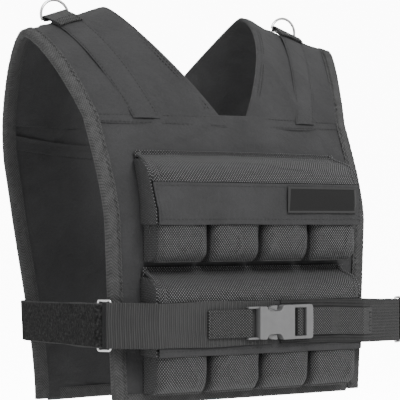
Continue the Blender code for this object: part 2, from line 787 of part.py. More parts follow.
def make_socket(parts, tools):
    """Socket of the side-release buckle: a hollow body with a side notch above and below, and a bar."""
    base = narrow_lift(0) - 0.5 * WEBBING_WALL
    half = 0.5 * BUCKLE_HEIGHT
    socket = buckle_box("buckle_socket", SOCKET_START_X, SOCKET_END_X, base, base + BUCKLE_THICK, -half, half)
    socket.data.materials.append(material("plastic"))
    parts.objects.link(socket)
    rounded(socket, EDGE_ROUND)
    inside = 0.5 * NARROW_WIDTH + GAP
    slot_start = SOCKET_START_X + BAR_WIDTH
    over = BUCKLE_THICK
    slot = buckle_box("slot_cut", slot_start, SOCKET_BODY_X, base - over, base + 2.0 * over, -inside, inside)
    combine(socket, slot, "DIFFERENCE", tools)
    bar_low = bar_lift() - 0.5 * BAR_THICK
    bar_high = bar_lift() + 0.5 * BAR_THICK
    before = SOCKET_START_X - over
    under = buckle_box("bar_under_cut", before, slot_start + GAP, base - over, bar_low, -inside, inside)
    above = buckle_box("bar_over_cut", before, slot_start + GAP, bar_high, base + 2.0 * over, -inside, inside)
    combine(socket, under, "DIFFERENCE", tools)
    combine(socket, above, "DIFFERENCE", tools)
    shoulder = base + 0.5 * BUCKLE_THICK + 0.5 * PLUG_THICK + BUCKLE_WALL
    thin = buckle_box("shoulder_cut", before, SOCKET_BODY_X, shoulder, base + 2.0 * over, -2.0 * half, 2.0 * half)
    combine(socket, thin, "DIFFERENCE", tools)
    clear = 2.0 * GAP
    low, high = plug_lift() - 0.5 * PLUG_THICK - clear, plug_lift() + 0.5 * PLUG_THICK + clear
    deep = 0.5 * PRONG_HEIGHT + clear
    channel_start = SOCKET_BODY_X + BUCKLE_WALL
    channel = buckle_box("channel_cut", channel_start, SOCKET_END_X + over, low, high, -deep, deep)
    combine(socket, channel, "DIFFERENCE", tools)
    notch_start = SOCKET_BODY_X + 0.26 * (SOCKET_END_X - SOCKET_BODY_X)
    for word, sign in (("lower", -1), ("upper", 1)):
        ends = sorted((sign * (half - NOTCH_DEPTH), sign * 2.0 * half))
        notch = buckle_box(
            word + "_notch_cut", notch_start, notch_start + NOTCH_LENGTH, base - over, base + 2.0 * over, *ends
        )
        combine(socket, notch, "DIFFERENCE", tools)
    return socket


def make_plug(parts, tools):
    """Plug of the buckle: a frame with a middle bar, and prongs whose catches show in the notches."""
    low, high = plug_lift() - 0.5 * PLUG_THICK, plug_lift() + 0.5 * PLUG_THICK
    half = 0.5 * BUCKLE_HEIGHT
    start = SOCKET_END_X + GAP
    plug = buckle_box("buckle_plug", start, PLUG_END_X, low, high, -half, half)
    plug.data.materials.append(material("plastic"))
    parts.objects.link(plug)
    rounded(plug, EDGE_ROUND)
    inside = 0.5 * NARROW_WIDTH + GAP
    over = BUCKLE_THICK
    bar_x = middle_bar_x()
    slots = (
        ("first_slot_cut", start + 0.5 * GAP, bar_x - 0.5 * BAR_WIDTH),
        ("second_slot_cut", bar_x + 0.5 * BAR_WIDTH, PLUG_END_X - END_BAR_WIDTH),
    )
    base_end = start + 2.0 * GAP
    for name, slot_start, slot_end in slots:
        slot = buckle_box(name, max(slot_start, base_end), slot_end, low - over, high + over, -inside, inside)
        combine(plug, slot, "DIFFERENCE", tools)
    prong_start = SOCKET_BODY_X + BUCKLE_WALL + 2.0 * GAP
    reach = 0.5 * PRONG_HEIGHT
    thin = 0.3 * EDGE_ROUND
    tongue = buckle_box("tongue", prong_start, base_end + GAP, low + thin, high - thin, -reach, reach)
    combine(plug, tongue, "UNION", tools)
    notch_start = SOCKET_BODY_X + 0.26 * (SOCKET_END_X - SOCKET_BODY_X)
    for word, sign in (("lower", -1), ("upper", 1)):
        ends = sorted((sign * (reach - EDGE_ROUND), sign * (half - EDGE_ROUND)))
        catch_start = notch_start + GAP
        catch_end = notch_start + 0.75 * NOTCH_LENGTH
        name = word + "_catch"
        catch = buckle_box(name, catch_start, catch_end, low + 2.0 * thin, high - 2.0 * thin, *ends)
        combine(plug, catch, "UNION", tools)
    return plug


def main():
    clear_scene()
    parts = new_collection("weighted_vest")
    make_panel(parts, "front_panel", FRONT, FRONT_HEM_DROP)
    make_panel(parts, "back_panel", BACK, BACK_HEM_DROP)
    for hand, word in ((RIGHT, "right"), (LEFT, "left")):
        make_yoke(parts, word + "_shoulder_yoke", hand)
        make_binding(parts, word + "_front_binding", hand, FRONT)
        make_binding(parts, word + "_back_binding", hand, BACK)
        make_strap_band(parts, word + "_strap_band", hand)
        make_ring_loop(parts, word + "_ring_loop", hand)
        make_shoulder_ring(parts, word + "_shoulder_ring", hand)
    make_block(parts, "upper", UPPER_TOP_DROP, UPPER_ROLL, UPPER_BAND, UPPER_POCKET)
    make_block(parts, "lower", LOWER_TOP_DROP, LOWER_ROLL, LOWER_BAND, LOWER_POCKET)
    make_label(parts)
    strips = (("front_elastic", RIGHT, ELASTIC_END_X), ("front_wide_band", LEFT, WIDE_BAND_START_X))
    for name, hand, end_x in strips:
        upright_strip(parts, name, "webbing", belt_path(hand, end_x), BELT_WIDTH, STRAP_WALL)
    for hand, word in ((RIGHT, "right"), (LEFT, "left")):
        make_side_strap(parts, word + "_side_strap", hand)
        make_strap_ring(parts, word + "_strap_ring", hand)
    make_back_strap(parts)
    make_buckle_tab(parts)
    make_long_webbing(parts)
    tools = new_collection("cutters")
    make_socket(parts, tools)
    make_plug(parts, tools)


main()
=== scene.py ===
"""Looks of the weighted vest: cloth, padding, stitches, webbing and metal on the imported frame.

The vest's own frame has +Z up, its front towards -Y and the wearer's right at -X. Lengths are in metres.
"""

import math

import bmesh
import bpy
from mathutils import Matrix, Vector, noise


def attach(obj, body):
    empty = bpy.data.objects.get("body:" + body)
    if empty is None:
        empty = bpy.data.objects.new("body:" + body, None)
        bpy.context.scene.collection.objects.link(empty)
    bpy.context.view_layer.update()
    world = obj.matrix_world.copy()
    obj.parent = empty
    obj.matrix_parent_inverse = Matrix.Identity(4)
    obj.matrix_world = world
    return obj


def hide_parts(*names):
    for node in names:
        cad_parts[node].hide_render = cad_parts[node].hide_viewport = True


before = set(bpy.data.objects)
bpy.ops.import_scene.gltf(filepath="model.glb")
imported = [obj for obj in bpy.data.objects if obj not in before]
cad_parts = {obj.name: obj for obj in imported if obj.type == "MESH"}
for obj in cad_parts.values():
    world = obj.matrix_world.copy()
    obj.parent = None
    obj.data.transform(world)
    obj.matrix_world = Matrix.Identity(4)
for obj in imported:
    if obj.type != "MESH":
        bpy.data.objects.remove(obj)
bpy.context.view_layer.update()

FRONT, BACK, RIGHT, LEFT = -1, 1, -1, 1
FACES = ((FRONT, "front"), (BACK, "back"))
SIDES = ((RIGHT, "right"), (LEFT, "left"))

# Body form and outline, as on the frame.
SHOULDER_SLOPE, SHOULDER_ROUND = 0.36, 0.040
NECK_HALF, SHOULDER_HALF = 0.0905, 0.200
SEAM_DROP, HEM_DROP = 0.130, {FRONT: 0.430, BACK: 0.449}
DEPTH, FALL = {FRONT: 0.152, BACK: 0.110}, {FRONT: 0.220, BACK: 0.150}
CHEST_HALF, HEM_HALF = {FRONT: 0.1645, BACK: 0.179}, {FRONT: 0.1510, BACK: 0.137}
SIDE_CURVE = {FRONT: 0.85, BACK: 1.5}
SHOULDER_FORWARD, FORM_POWER, YOKE_POWER = 0.024, 1.5, 1.6
CHEST_SETBACK, BELLY_SETBACK, BACK_SETBACK = 0.010, 0.002, 0.018
HEM_LEAN, SETBACK_POWER = 0.020, 1.6
NECKLINE_HALF, NECK_CURVE, ARMHOLE_CURVE = 0.0152, 1.3, 0.8
GAP, CURVE_GAP = 0.0003, 0.0009
PANEL_WALL, YOKE_WALL = 0.003, 0.005
TAPE_WALL, TAPE_WIDTH = 0.0009, 0.012
WEBBING_WALL, STRAP_WALL, FLAP_WALL = 0.0013, 0.0022, 0.0026
YOKE_LAP, YOKE_RIM = 1.045, 0.0021
BAND_WIDTH, BAND_CREST_X, BAND_SEAM_X = 0.029, 0.150, 0.102
RING_WIRE, RING_CLEARANCE, RING_STRAIGHT, LOOP_RUN = 0.0032, 0.0006, 0.0008, 0.028
LOOP_LIFT = 0.5 * YOKE_WALL + 3.0 * GAP + 1.5 * WEBBING_WALL
LOOP_RADIUS = 0.5 * RING_WIRE + RING_CLEARANCE + 0.5 * WEBBING_WALL
BLOCK_HALF, BLOCK_CENTRE, POCKETS, POCKET_GAP = 0.1255, 0.003, 4, 0.0035
POCKET_DEPTH = 0.0385
BLOCK_BASE = 0.5 * PANEL_WALL + CURVE_GAP
FLAP_LIFT = 1.02 * POCKET_DEPTH + 2.0 * GAP + 0.5 * FLAP_WALL
BLOCKS = {
    "upper": {"top": 0.167, "roll": 0.034, "band": 0.044, "pocket": 0.083},
    "lower": {"top": 0.290, "roll": 0.036, "band": 0.055, "pocket": 0.095},
}
BELT_DROP, BACK_BELT_DROP, LEFT_BELT_SAG = 0.3485, 0.3565, 0.006
BELT_WIDTH, SIDE_STRAP_WIDTH = 0.047, 0.046
BELT_LIFT = FLAP_LIFT + 0.5 * FLAP_WALL + 3.0 * GAP + 0.5 * STRAP_WALL
BACK_STRAP_LIFT = 0.5 * YOKE_WALL + CURVE_GAP + TAPE_WALL + GAP + 0.5 * STRAP_WALL
STRAP_RING_LENGTH, STRAP_RING_WIRE, STRAP_FOLD = 0.013, 0.0028, 0.018
BELT_RINGS = {RIGHT: (-0.168, -0.157), LEFT: (0.214, -0.148)}
ELASTIC_END_X, WIDE_BAND_START_X = 0.0125, 0.021
NARROW_WIDTH, PLUG_END_X = 0.0295, 0.0574
LABEL_WIDTH, LABEL_HEIGHT, LABEL_X = 0.090, 0.028, 0.075
TAB_START_X, TAIL_END_X, NARROW_END_X = -0.0687, 0.085, 0.148
BUCKLE_HEIGHT, BUCKLE_THICK = 0.0365, 0.0100
SOCKET_START_X, SOCKET_BODY_X, SOCKET_END_X = -0.0228, -0.0109, 0.0328
BAR_WIDTH, BAR_THICK, END_BAR_WIDTH, PLUG_THICK = 0.0036, 0.0030, 0.0085, 0.0034
NOTCH_LENGTH, NOTCH_DEPTH = 0.0165, 0.0062

# Soft details of the looks.
STITCH_LENGTH, STITCH_GAP, STITCH_THICK, FINE_STITCH = 0.0031, 0.0016, 0.0009, 0.0008
PANEL_SHARE, CREST_SHARE = 0.62, 0.0005  # of the edge tape: its part on the panel, and its end at the crest
PUCKERS, ZIGZAGS = 62.0, 150
LINING_WALL, COVER_WALL, LABEL_WALL = 0.0016, 0.0014, 0.0012
WELT_RADIUS, PIPING_RADIUS = 0.0024, 0.0011


# ---- shared geometry

def mix(first, second, share):
    return first + (second - first) * share


def smooth_share(value, low, high):
    share = min(max((value - low) / (high - low), 0.0), 1.0)
    return share * share * (3.0 - 2.0 * share)


def hump(value, middle, width):
    return math.exp(-(((value - middle) / width) ** 2))


def rounded_step(share, start):
    """1 until start, then falls along a quarter circle to 0 at 1."""
    beyond = max((share - start) / (1.0 - start), 0.0)
    return math.sqrt(max(1.0 - beyond * beyond, 0.0))


def folded(share, reach, clear):
    """Once round a folded edge: how far in over the cloth, and how high above its middle."""
    fold = 4.0 * share
    if fold < 1.0:
        return mix(reach, 0.0, fold), clear
    if fold > 3.0:
        return mix(0.0, reach, fold - 3.0), -clear
    turn = math.pi * (fold - 1.0) / 2.0
    return -clear * math.sin(turn), clear * math.cos(turn)


def crest_height(x):
    fall = math.hypot(x, SHOULDER_ROUND) - math.hypot(NECK_HALF, SHOULDER_ROUND)
    return 0.5 * YOKE_WALL - SHOULDER_SLOPE * fall


def edge_setback(side, x, z):
    bent = (abs(x) / CHEST_HALF[side]) ** SETBACK_POWER
    if side == BACK:
        return BACK_SETBACK * bent
    upper = BLOCKS["upper"]
    upward = smooth_share(z, -upper["top"] - upper["pocket"], -SEAM_DROP)
    return mix(BELLY_SETBACK, CHEST_SETBACK, upward) * bent


def back_lean(z):
    return HEM_LEAN * smooth_share(-z, 0.5 * HEM_DROP[BACK], HEM_DROP[BACK])


def body_point(side, x, z):
    fall = FALL[side]
    drop = min(max(crest_height(x) - z, 0.0), fall)
    bulge = (1.0 - (1.0 - drop / fall) ** FORM_POWER) ** (1.0 / FORM_POWER)
    reach = (DEPTH[side] - edge_setback(side, x, z)) * bulge
    if side == BACK:
        reach -= back_lean(z)
    beyond = max((abs(x) - NECK_HALF) / (SHOULDER_HALF - NECK_HALF), 0.0)
    return Vector((x, side * reach - SHOULDER_FORWARD * beyond**2.5 * (1.0 - bulge), z))


def half_width(side, z):
    share = (z + HEM_DROP[side]) / (HEM_DROP[side] - SEAM_DROP)
    return mix(HEM_HALF[side], CHEST_HALF[side], max(share, 0.0) ** SIDE_CURVE[side])


def yoke_x(side, across, down):
    neck = mix(NECK_HALF, NECKLINE_HALF, down**NECK_CURVE)
    return mix(neck, mix(SHOULDER_HALF, CHEST_HALF[side], down**ARMHOLE_CURVE), across)


def yoke_point(hand, across, along):
    side = FRONT if along < 0.0 else BACK
    down = abs(along) ** YOKE_POWER
    x = yoke_x(side, across, down)
    point = body_point(side, x, mix(crest_height(x), -SEAM_DROP, down))
    return Vector((hand * point.x, point.y, point.z))


def outward(place, u, v, step=1e-3):
    across = place(u + step, v) - place(u - step, v)
    along = place(u, v + step) - place(u, v - step)
    normal = across.cross(along).normalized()
    point = place(u, v)
    core = Vector((0.5 * point.x, 0.0, point.z - 0.08))
    return normal if normal.dot(point - core) > 0.0 else -normal


def lifted(place, u, v, lift):
    return place(u, v) + outward(place, u, v) * lift


def beside(heading):
    """Level and square to this heading."""
    return Vector((heading.y, -heading.x, 0.0))


def level_face(side, x, z, lift):
    """Point this far in front of a panel, measured level."""
    step = 1e-3
    across = body_point(side, x + step, z) - body_point(side, x - step, z)
    return body_point(side, x, z) + beside(across).normalized() * (-side * lift)


def ripple(a, b, seed, size):
    """Smooth random value from about -1 to 1 for a place on the cloth, in metres."""
    return 1.6 * noise.noise(Vector((a / size, b / size, seed)))


def crease(a, b, seed, size):
    """0 on flat cloth, up to 1 along thin winding ridges."""
    return max(1.0 - 5.0 * abs(noise.noise(Vector((a / size, b / size, seed)))), 0.0) ** 2


# ---- making objects

MATERIALS = {}


def finish_piece(obj, name, look, body="vest", extra=False):
    """Gives a piece its look and body, and hides the node it replaces. An extra piece replaces no node."""
    if not extra:
        obj.name = obj.data.name = name + "_made"
    obj.data.materials.append(MATERIALS[look])
    bpy.context.scene.collection.objects.link(obj)
    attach(obj, body)
    if not extra:
        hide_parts(name)
    return obj


def mesh_object(name, points, faces, flat):
    """Mesh whose UV map holds lengths in metres: flat gives each point's place on the flat cloth."""
    mesh = bpy.data.meshes.new(name)
    mesh.from_pydata(points, [], faces)
    layer = mesh.uv_layers.new(name="cloth")
    for loop in mesh.loops:
        layer.data[loop.index].uv = flat[loop.vertex_index]
    mesh.shade_smooth()
    return bpy.data.objects.new(name, mesh)


def run_along(points):
    """Distance from the first point to each."""
    run = [0.0]
    for first, second in zip(points, points[1:]):
        run.append(run[-1] + (second - first).length)
    return run


def walked(points):
    """Distance along a row of points, counted from its middle."""
    run = run_along(points)
    return [value - 0.5 * run[-1] for value in run]


def grid(name, place, columns, rows):
    """Open sheet of cloth placed by place(u, v)."""
    table = [[place(i / columns, j / rows) for i in range(columns + 1)] for j in range(rows + 1)]
    widths = [walked(row) for row in table]
    heights = [walked(column) for column in zip(*table)]
    wide = columns + 1
    points = [point for row in table for point in row]
    flat = [(widths[j][i], heights[i][j]) for j in range(rows + 1) for i in range(wide)]
    corners = [j * wide + i for j in range(rows) for i in range(columns)]
    return mesh_object(name, points, [(k, k + 1, k + wide + 1, k + wide) for k in corners], flat)


def round_rim(obj, width, segments, degrees):
    rim = obj.modifiers.new("rim", "BEVEL")
    rim.width = width
    rim.segments = segments
    rim.limit_method = "ANGLE"
    rim.angle_limit = math.radians(degrees)
    return rim


def sheet(name, look, place, columns, rows, wall, extra=False):
    """Sheet of cloth with this wall and rounded edges."""
    obj = finish_piece(grid(name, place, columns, rows), name, look, extra=extra)
    solidify = obj.modifiers.new("wall", "SOLIDIFY")
    solidify.thickness = wall
    solidify.offset = 0.0
    solidify.use_even_offset = True
    round_rim(obj, 0.4 * wall, 3, 50.0)
    return obj


def loft(name, look, place, stations, around, rings=4, extra=False):
    """Closed filled piece: place(u, t) goes along it for u from 0 to 1 and once round it for t."""
    rows = [[place(j / stations, i / around) for i in range(around)] for j in range(stations + 1)]
    centres = [sum(row, Vector()) / around for row in (rows[0], rows[-1])]
    shares = [0.97 * (k + 1) / rings for k in range(rings)]
    table = [[mix(centres[0], point, share) for point in rows[0]] for share in shares] + rows
    table += [[mix(centres[1], point, share) for point in rows[-1]] for share in reversed(shares)]
    points, flat, length = [], [], 0.0
    for j, row in enumerate(table):
        if j:
            length += max((row[i] - table[j - 1][i]).length for i in range(around))
        turn = walked([*row, row[0]])
        in_end = j < rings or j >= len(table) - rings
        points += row
        flat += [(point.y, point.z) if in_end else (length, turn[i]) for i, point in enumerate(row)]
    following = [(i, (i + 1) % around) for i in range(around)]
    faces = []
    for low in range(0, (len(table) - 1) * around, around):
        faces += [(low + i, low + k, low + around + k, low + around + i) for i, k in following]
    for end, start in enumerate((0, (len(table) - 1) * around)):
        points.append(centres[end])
        flat.append(flat[start])
        for i, k in following:
            face = (start + i, start + k, len(points) - 1)
            faces.append(face if end else face[::-1])
    obj = mesh_object(name, points, faces, flat)
    cage = bmesh.new()
    cage.from_mesh(obj.data)
    bmesh.ops.recalc_face_normals(cage, faces=cage.faces[:])
    cage.to_mesh(obj.data)
    cage.free()
    return finish_piece(obj, name, look, extra=extra)


def smooth_path(points, steps=8):
    """Points of a Catmull-Rom curve through these points."""
    padded = [points[0] * 2.0 - points[1], *points, points[-1] * 2.0 - points[-2]]
    path = []
    for i in range(1, len(padded) - 2):
        before, first, second, after = padded[i - 1 : i + 3]
        for step in range(steps):
            t = step / steps
            curve = first * 2.0 + (second - before) * t
            curve += (before * 2.0 - first * 5.0 + second * 4.0 - after) * t**2
            curve += (first * 3.0 - before - second * 3.0 + after) * t**3
            path.append(curve * 0.5)
    return [*path, points[-1].copy()]


def along_path(path, share):
    """Point at this share of an evenly spaced path."""
    where = min(max(share, 0.0), 1.0) * (len(path) - 1)
    index = min(int(where), len(path) - 2)
    return path[index].lerp(path[index + 1], where - index)


def evenly(path, spacing):
    """The same path with points at about this spacing."""
    run = run_along(path)
    count = max(int(round(run[-1] / spacing)), 2)
    out, index = [path[0].copy()], 0
    for step in range(1, count):
        target = run[-1] * step / count
        while run[index + 1] < target:
            index += 1
        share = (target - run[index]) / (run[index + 1] - run[index])
        out.append(path[index].lerp(path[index + 1], share))
    return [*out, path[-1].copy()]


def pipe(name, points, radius, look="tape"):
    """Round welt or cord of cloth through these points."""
    path = evenly(points, 1.6 * radius)
    count = len(path) - 1

    def place(u, t):
        step = 1.0 / count
        ahead = (along_path(path, u + step) - along_path(path, u - step)).normalized()
        side = ahead.orthogonal() if abs(ahead.y) > 0.99 else ahead.cross(Vector((0.0, 1.0, 0.0)))
        side.normalize()
        turn = 2.0 * math.pi * t
        reach = side * math.cos(turn) + ahead.cross(side) * math.sin(turn)
        return along_path(path, u) + reach * (radius * min(1.0, 0.4 + 0.3 * count * min(u, 1.0 - u)))

    loft(name, look, place, count, 8, rings=1, extra=True)


STITCHES = []


def stitch_line(points, normals, thick=STITCH_THICK):
    """Notes a row of stitches that lie on a surface along these points."""
    run = run_along(points)
    start, index = 0.5 * STITCH_GAP, 0
    while start + STITCH_LENGTH < run[-1]:
        middle = start + 0.5 * STITCH_LENGTH
        while run[index + 1] < middle:
            index += 1
        share = (middle - run[index]) / (run[index + 1] - run[index])
        centre = points[index].lerp(points[index + 1], share)
        heading = (points[index + 1] - points[index]).normalized()
        STITCHES.append((centre, heading, normals[index], STITCH_LENGTH, thick))
        start += STITCH_LENGTH + STITCH_GAP


def stitch_row(place, start, end, count, height, thick=STITCH_THICK):
    """Straight row of stitches over a surface, between two places given as its u, v."""
    points, normals = [], []
    for step in range(count + 1):
        u, v = (mix(a, b, step / count) for a, b in zip(start, end))
        normal = outward(place, u, v)
        points.append(place(u, v) + normal * height)
        normals.append(normal)
    stitch_line(points, normals, thick)


def stitch_rows(place, rows, start, end, count, height):
    for v in rows:
        stitch_row(place, (start, v), (end, v), count, height)


def stitch_columns(place, columns, start, end, count, height):
    for u in columns:
        stitch_row(place, (u, start), (u, end), count, height)


def make_stitches(name):
    """One mesh of all stitches noted so far: each is a short thread, sunk at both ends."""
    points, faces, flat = [], [], []
    for centre, heading, normal, length, thick in STITCHES:
        side = heading.cross(normal).normalized()
        start = len(points)
        for share, width, rise in ((-0.5, 0.35, -0.5), (-0.28, 0.9, 0.5), (0.28, 0.9, 0.5), (0.5, 0.35, -0.5)):
            middle = centre + heading * (share * length) + normal * (rise * 0.4 * thick)
            for turn in range(4):
                angle = 0.5 * math.pi * (turn + 0.5)
                around = side * math.cos(angle) + normal * math.sin(angle)
                points.append(middle + around * (0.5 * thick * width))
                flat.append((share * length, turn * thick))
        for ring in range(3):
            for turn in range(4):
                a, b = start + 4 * ring + turn, start + 4 * ring + (turn + 1) % 4
                faces.append((a, b, b + 4, a + 4))
        faces.append((start + 3, start + 2, start + 1, start))
        faces.append((start + 12, start + 13, start + 14, start + 15))
    finish_piece(mesh_object(name, points, faces, flat), name, "thread", extra=True)


def wire_loop(name, points, thickness, body="vest"):
    """Round metal wire, closed, through these points."""
    wire = bpy.data.curves.new(name, "CURVE")
    wire.dimensions = "3D"
    wire.bevel_depth = 0.5 * thickness
    wire.bevel_resolution = 5
    line = wire.splines.new("POLY")
    line.points.add(len(points) - 1)
    for target, point in zip(line.points, points):
        target.co = (*point, 1.0)
    line.use_cyclic_u = True
    finish_piece(bpy.data.objects.new(name, wire), name, "chrome", body)


def corner_path(corners, radius, steps=6):
    """Closed path through these corners, each rounded with this radius."""
    path = []
    for i, corner in enumerate(corners):
        before = (corners[i - 1] - corner).normalized()
        after = (corners[(i + 1) % len(corners)] - corner).normalized()
        for step in range(steps + 1):
            share = step / steps
            first = corner + before * radius * (1.0 - share)
            second = corner + after * radius * share
            path.append(first.lerp(second, share))
    return path


# ---- materials

def value_node(tree, operation, *values):
    node = tree.nodes.new("ShaderNodeMath")
    node.operation = operation
    for socket, value in zip(node.inputs, values):
        if isinstance(value, (int, float)):
            socket.default_value = value
        else:
            tree.links.new(value, socket)
    return node.outputs[0]


def weighted(tree, *parts):
    """Sum of values, each times its weight."""
    total = None
    for value, weight in parts:
        scaled = value_node(tree, "MULTIPLY", value, weight)
        total = value_node(tree, "ADD", total, scaled) if total else scaled
    return total


def new_material(name, roughness, sheen=0.0, metallic=0.0, shine=0.5):
    made = bpy.data.materials.new(name)
    made.use_nodes = True
    shader = made.node_tree.nodes["Principled BSDF"]
    values = {"Roughness": roughness, "Metallic": metallic, "Sheen Weight": sheen, "Specular IOR Level": shine}
    for socket, value in (values | {"Sheen Roughness": 0.4}).items():
        shader.inputs[socket].default_value = value
    MATERIALS[name] = made
    return made.node_tree, shader


def cloth_place(tree):
    """Across and along the cloth, in metres."""
    source = tree.nodes.new("ShaderNodeUVMap")
    source.uv_map = "cloth"
    parts = tree.nodes.new("ShaderNodeSeparateXYZ")
    tree.links.new(source.outputs[0], parts.inputs[0])
    return parts.outputs[0], parts.outputs[1]


def noise_value(tree, scale, detail=2.0):
    """Noise in object space: scale is in cells per metre."""
    place = tree.nodes.new("ShaderNodeTexCoord")
    made = tree.nodes.new("ShaderNodeTexNoise")
    made.inputs["Scale"].default_value = scale
    made.inputs["Detail"].default_value = detail
    tree.links.new(place.outputs["Object"], made.inputs["Vector"])
    return made.outputs["Fac"]


def wave(tree, place, pitch):
    return value_node(tree, "COSINE", value_node(tree, "MULTIPLY", place, 2.0 * math.pi / pitch))


def cords(tree, place, pitch):
    """Parallel raised cords, from 0 to 1."""
    return value_node(tree, "ADD", value_node(tree, "MULTIPLY", wave(tree, place, pitch), 0.5), 0.5)


def dots(tree, across, along, pitch_u, pitch_v):
    """Basket weave: raised dots in staggered rows, from 0 to 1."""
    total = value_node(tree, "ADD", wave(tree, across, pitch_u), wave(tree, along, pitch_v))
    return value_node(tree, "MULTIPLY", value_node(tree, "ABSOLUTE", total), 0.5)


def weave(tree, yarn, power):
    """Dark gaps between bright yarn: the share of light at each place."""
    uneven = value_node(tree, "ADD", noise_value(tree, 260.0), 0.55)
    return value_node(tree, "MULTIPLY", value_node(tree, "POWER", yarn, power), uneven)


def grey(level, cool=0.0):
    return (level, level, level * (1.0 + cool), 1.0)


def paint(tree, shader, fac, dark, light):
    ramp = tree.nodes.new("ShaderNodeMix")
    ramp.data_type = "RGBA"
    ramp.inputs["A"].default_value = dark
    ramp.inputs["B"].default_value = light
    tree.links.new(fac, ramp.inputs["Factor"])
    tree.links.new(ramp.outputs["Result"], shader.inputs["Base Color"])


def bump(tree, shader, *layers):
    """Stacks bumps: each layer is a height from 0 to 1 and its depth in metres."""
    normal = None
    for height, depth in layers:
        node = tree.nodes.new("ShaderNodeBump")
        node.inputs["Strength"].default_value = 1.0
        node.inputs["Distance"].default_value = depth
        tree.links.new(height, node.inputs["Height"])
        if normal:
            tree.links.new(normal, node.inputs["Normal"])
        normal = node.outputs["Normal"]
    tree.links.new(normal, shader.inputs["Normal"])


def make_cloths():
    # Smooth cloth: a fine plain weave with faint clouds and small handling creases.
    tree, shader = new_material("cloth", 0.74, sheen=0.06, shine=0.22)
    threads = dots(tree, *cloth_place(tree), 0.0011, 0.0013)
    fine = noise_value(tree, 420.0)
    tone = weighted(tree, (threads, 0.35), (noise_value(tree, 26.0, 3.0), 0.5), (fine, 0.3))
    paint(tree, shader, tone, grey(0.014), grey(0.060, 0.03))
    bump(tree, shader, (threads, 0.00022), (fine, 0.0004), (noise_value(tree, 55.0, 4.0), 0.0030))

    # Coarse cloth: thick yarn in a basket weave whose dots catch the light.
    tree, shader = new_material("coarse", 0.60, sheen=0.05, shine=0.3)
    yarn = dots(tree, *cloth_place(tree), 0.0030, 0.0036)
    paint(tree, shader, weave(tree, yarn, 2.3), grey(0.002), grey(0.215, 0.02))
    bump(tree, shader, (yarn, 0.0012), (noise_value(tree, 45.0, 3.0), 0.0020))

    # Edge tape: crossed threads, uneven where the zigzag stitch gathers it.
    tree, shader = new_material("tape", 0.66, sheen=0.05, shine=0.25)
    ribs = dots(tree, *cloth_place(tree), 0.0030, 0.0034)
    tone = weighted(tree, (ribs, 0.5), (noise_value(tree, 130.0, 3.0), 0.5))
    paint(tree, shader, tone, grey(0.002), grey(0.105))
    bump(tree, shader, (ribs, 0.0005), (noise_value(tree, 170.0), 0.0010))

    # Ribbed elastic: cords across the belt, with fine covering threads.
    tree, shader = new_material("elastic", 0.64, sheen=0.05, shine=0.25)
    across, along = cloth_place(tree)
    ribs, fine = cords(tree, across, 0.0024), dots(tree, across, along, 0.0012, 0.0016)
    tone = weighted(tree, (ribs, 0.45), (fine, 0.25), (noise_value(tree, 60.0, 3.0), 0.3))
    paint(tree, shader, tone, grey(0.008), grey(0.072))
    bump(tree, shader, (ribs, 0.0008), (fine, 0.0002))

    # Plain band of the belt: a tight weave with faint lengthwise ribs.
    tree, shader = new_material("band", 0.62, sheen=0.06, shine=0.2)
    across, along = cloth_place(tree)
    ribs = cords(tree, along, 0.0034)
    tone = weighted(tree, (ribs, 0.4), (noise_value(tree, 90.0, 3.0), 0.6))
    paint(tree, shader, tone, grey(0.006), grey(0.036))
    bump(tree, shader, (ribs, 0.0003), (dots(tree, across, along, 0.0012, 0.0012), 0.0002))

    # Webbing: a coarse dotted weave.
    tree, shader = new_material("webbing", 0.60, sheen=0.05, shine=0.3)
    yarn = dots(tree, *cloth_place(tree), 0.0030, 0.0030)
    paint(tree, shader, weave(tree, yarn, 2.0), grey(0.003), grey(0.115))
    bump(tree, shader, (yarn, 0.0008))

    # Loop pile of the side straps, mottled, with bare woven edges.
    tree, shader = new_material("pile", 0.95, sheen=0.02, shine=0.08)
    along = cloth_place(tree)[1]
    fuzz = noise_value(tree, 900.0, 3.0)
    tufts = value_node(tree, "POWER", value_node(tree, "MULTIPLY", noise_value(tree, 330.0), 1.7), 3.0)
    pile_half = 0.5 * SIDE_STRAP_WIDTH - 0.0013
    bare = value_node(tree, "GREATER_THAN", value_node(tree, "ABSOLUTE", along), pile_half)
    tone = weighted(tree, (fuzz, 0.15), (tufts, 0.40), (bare, 0.7))
    paint(tree, shader, tone, grey(0.001), grey(0.062))
    bump(tree, shader, (fuzz, 0.0016), (tufts, 0.0012))

    # Sewing thread, much darker than the cloth: its own dark colour plus painted shade of the seam grooves and stitch
    # holes.
    tree, shader = new_material("thread", 0.45)
    tone = noise_value(tree, 700.0)
    paint(tree, shader, tone, grey(0.003), grey(0.012))
    bump(tree, shader, (tone, 0.0002))


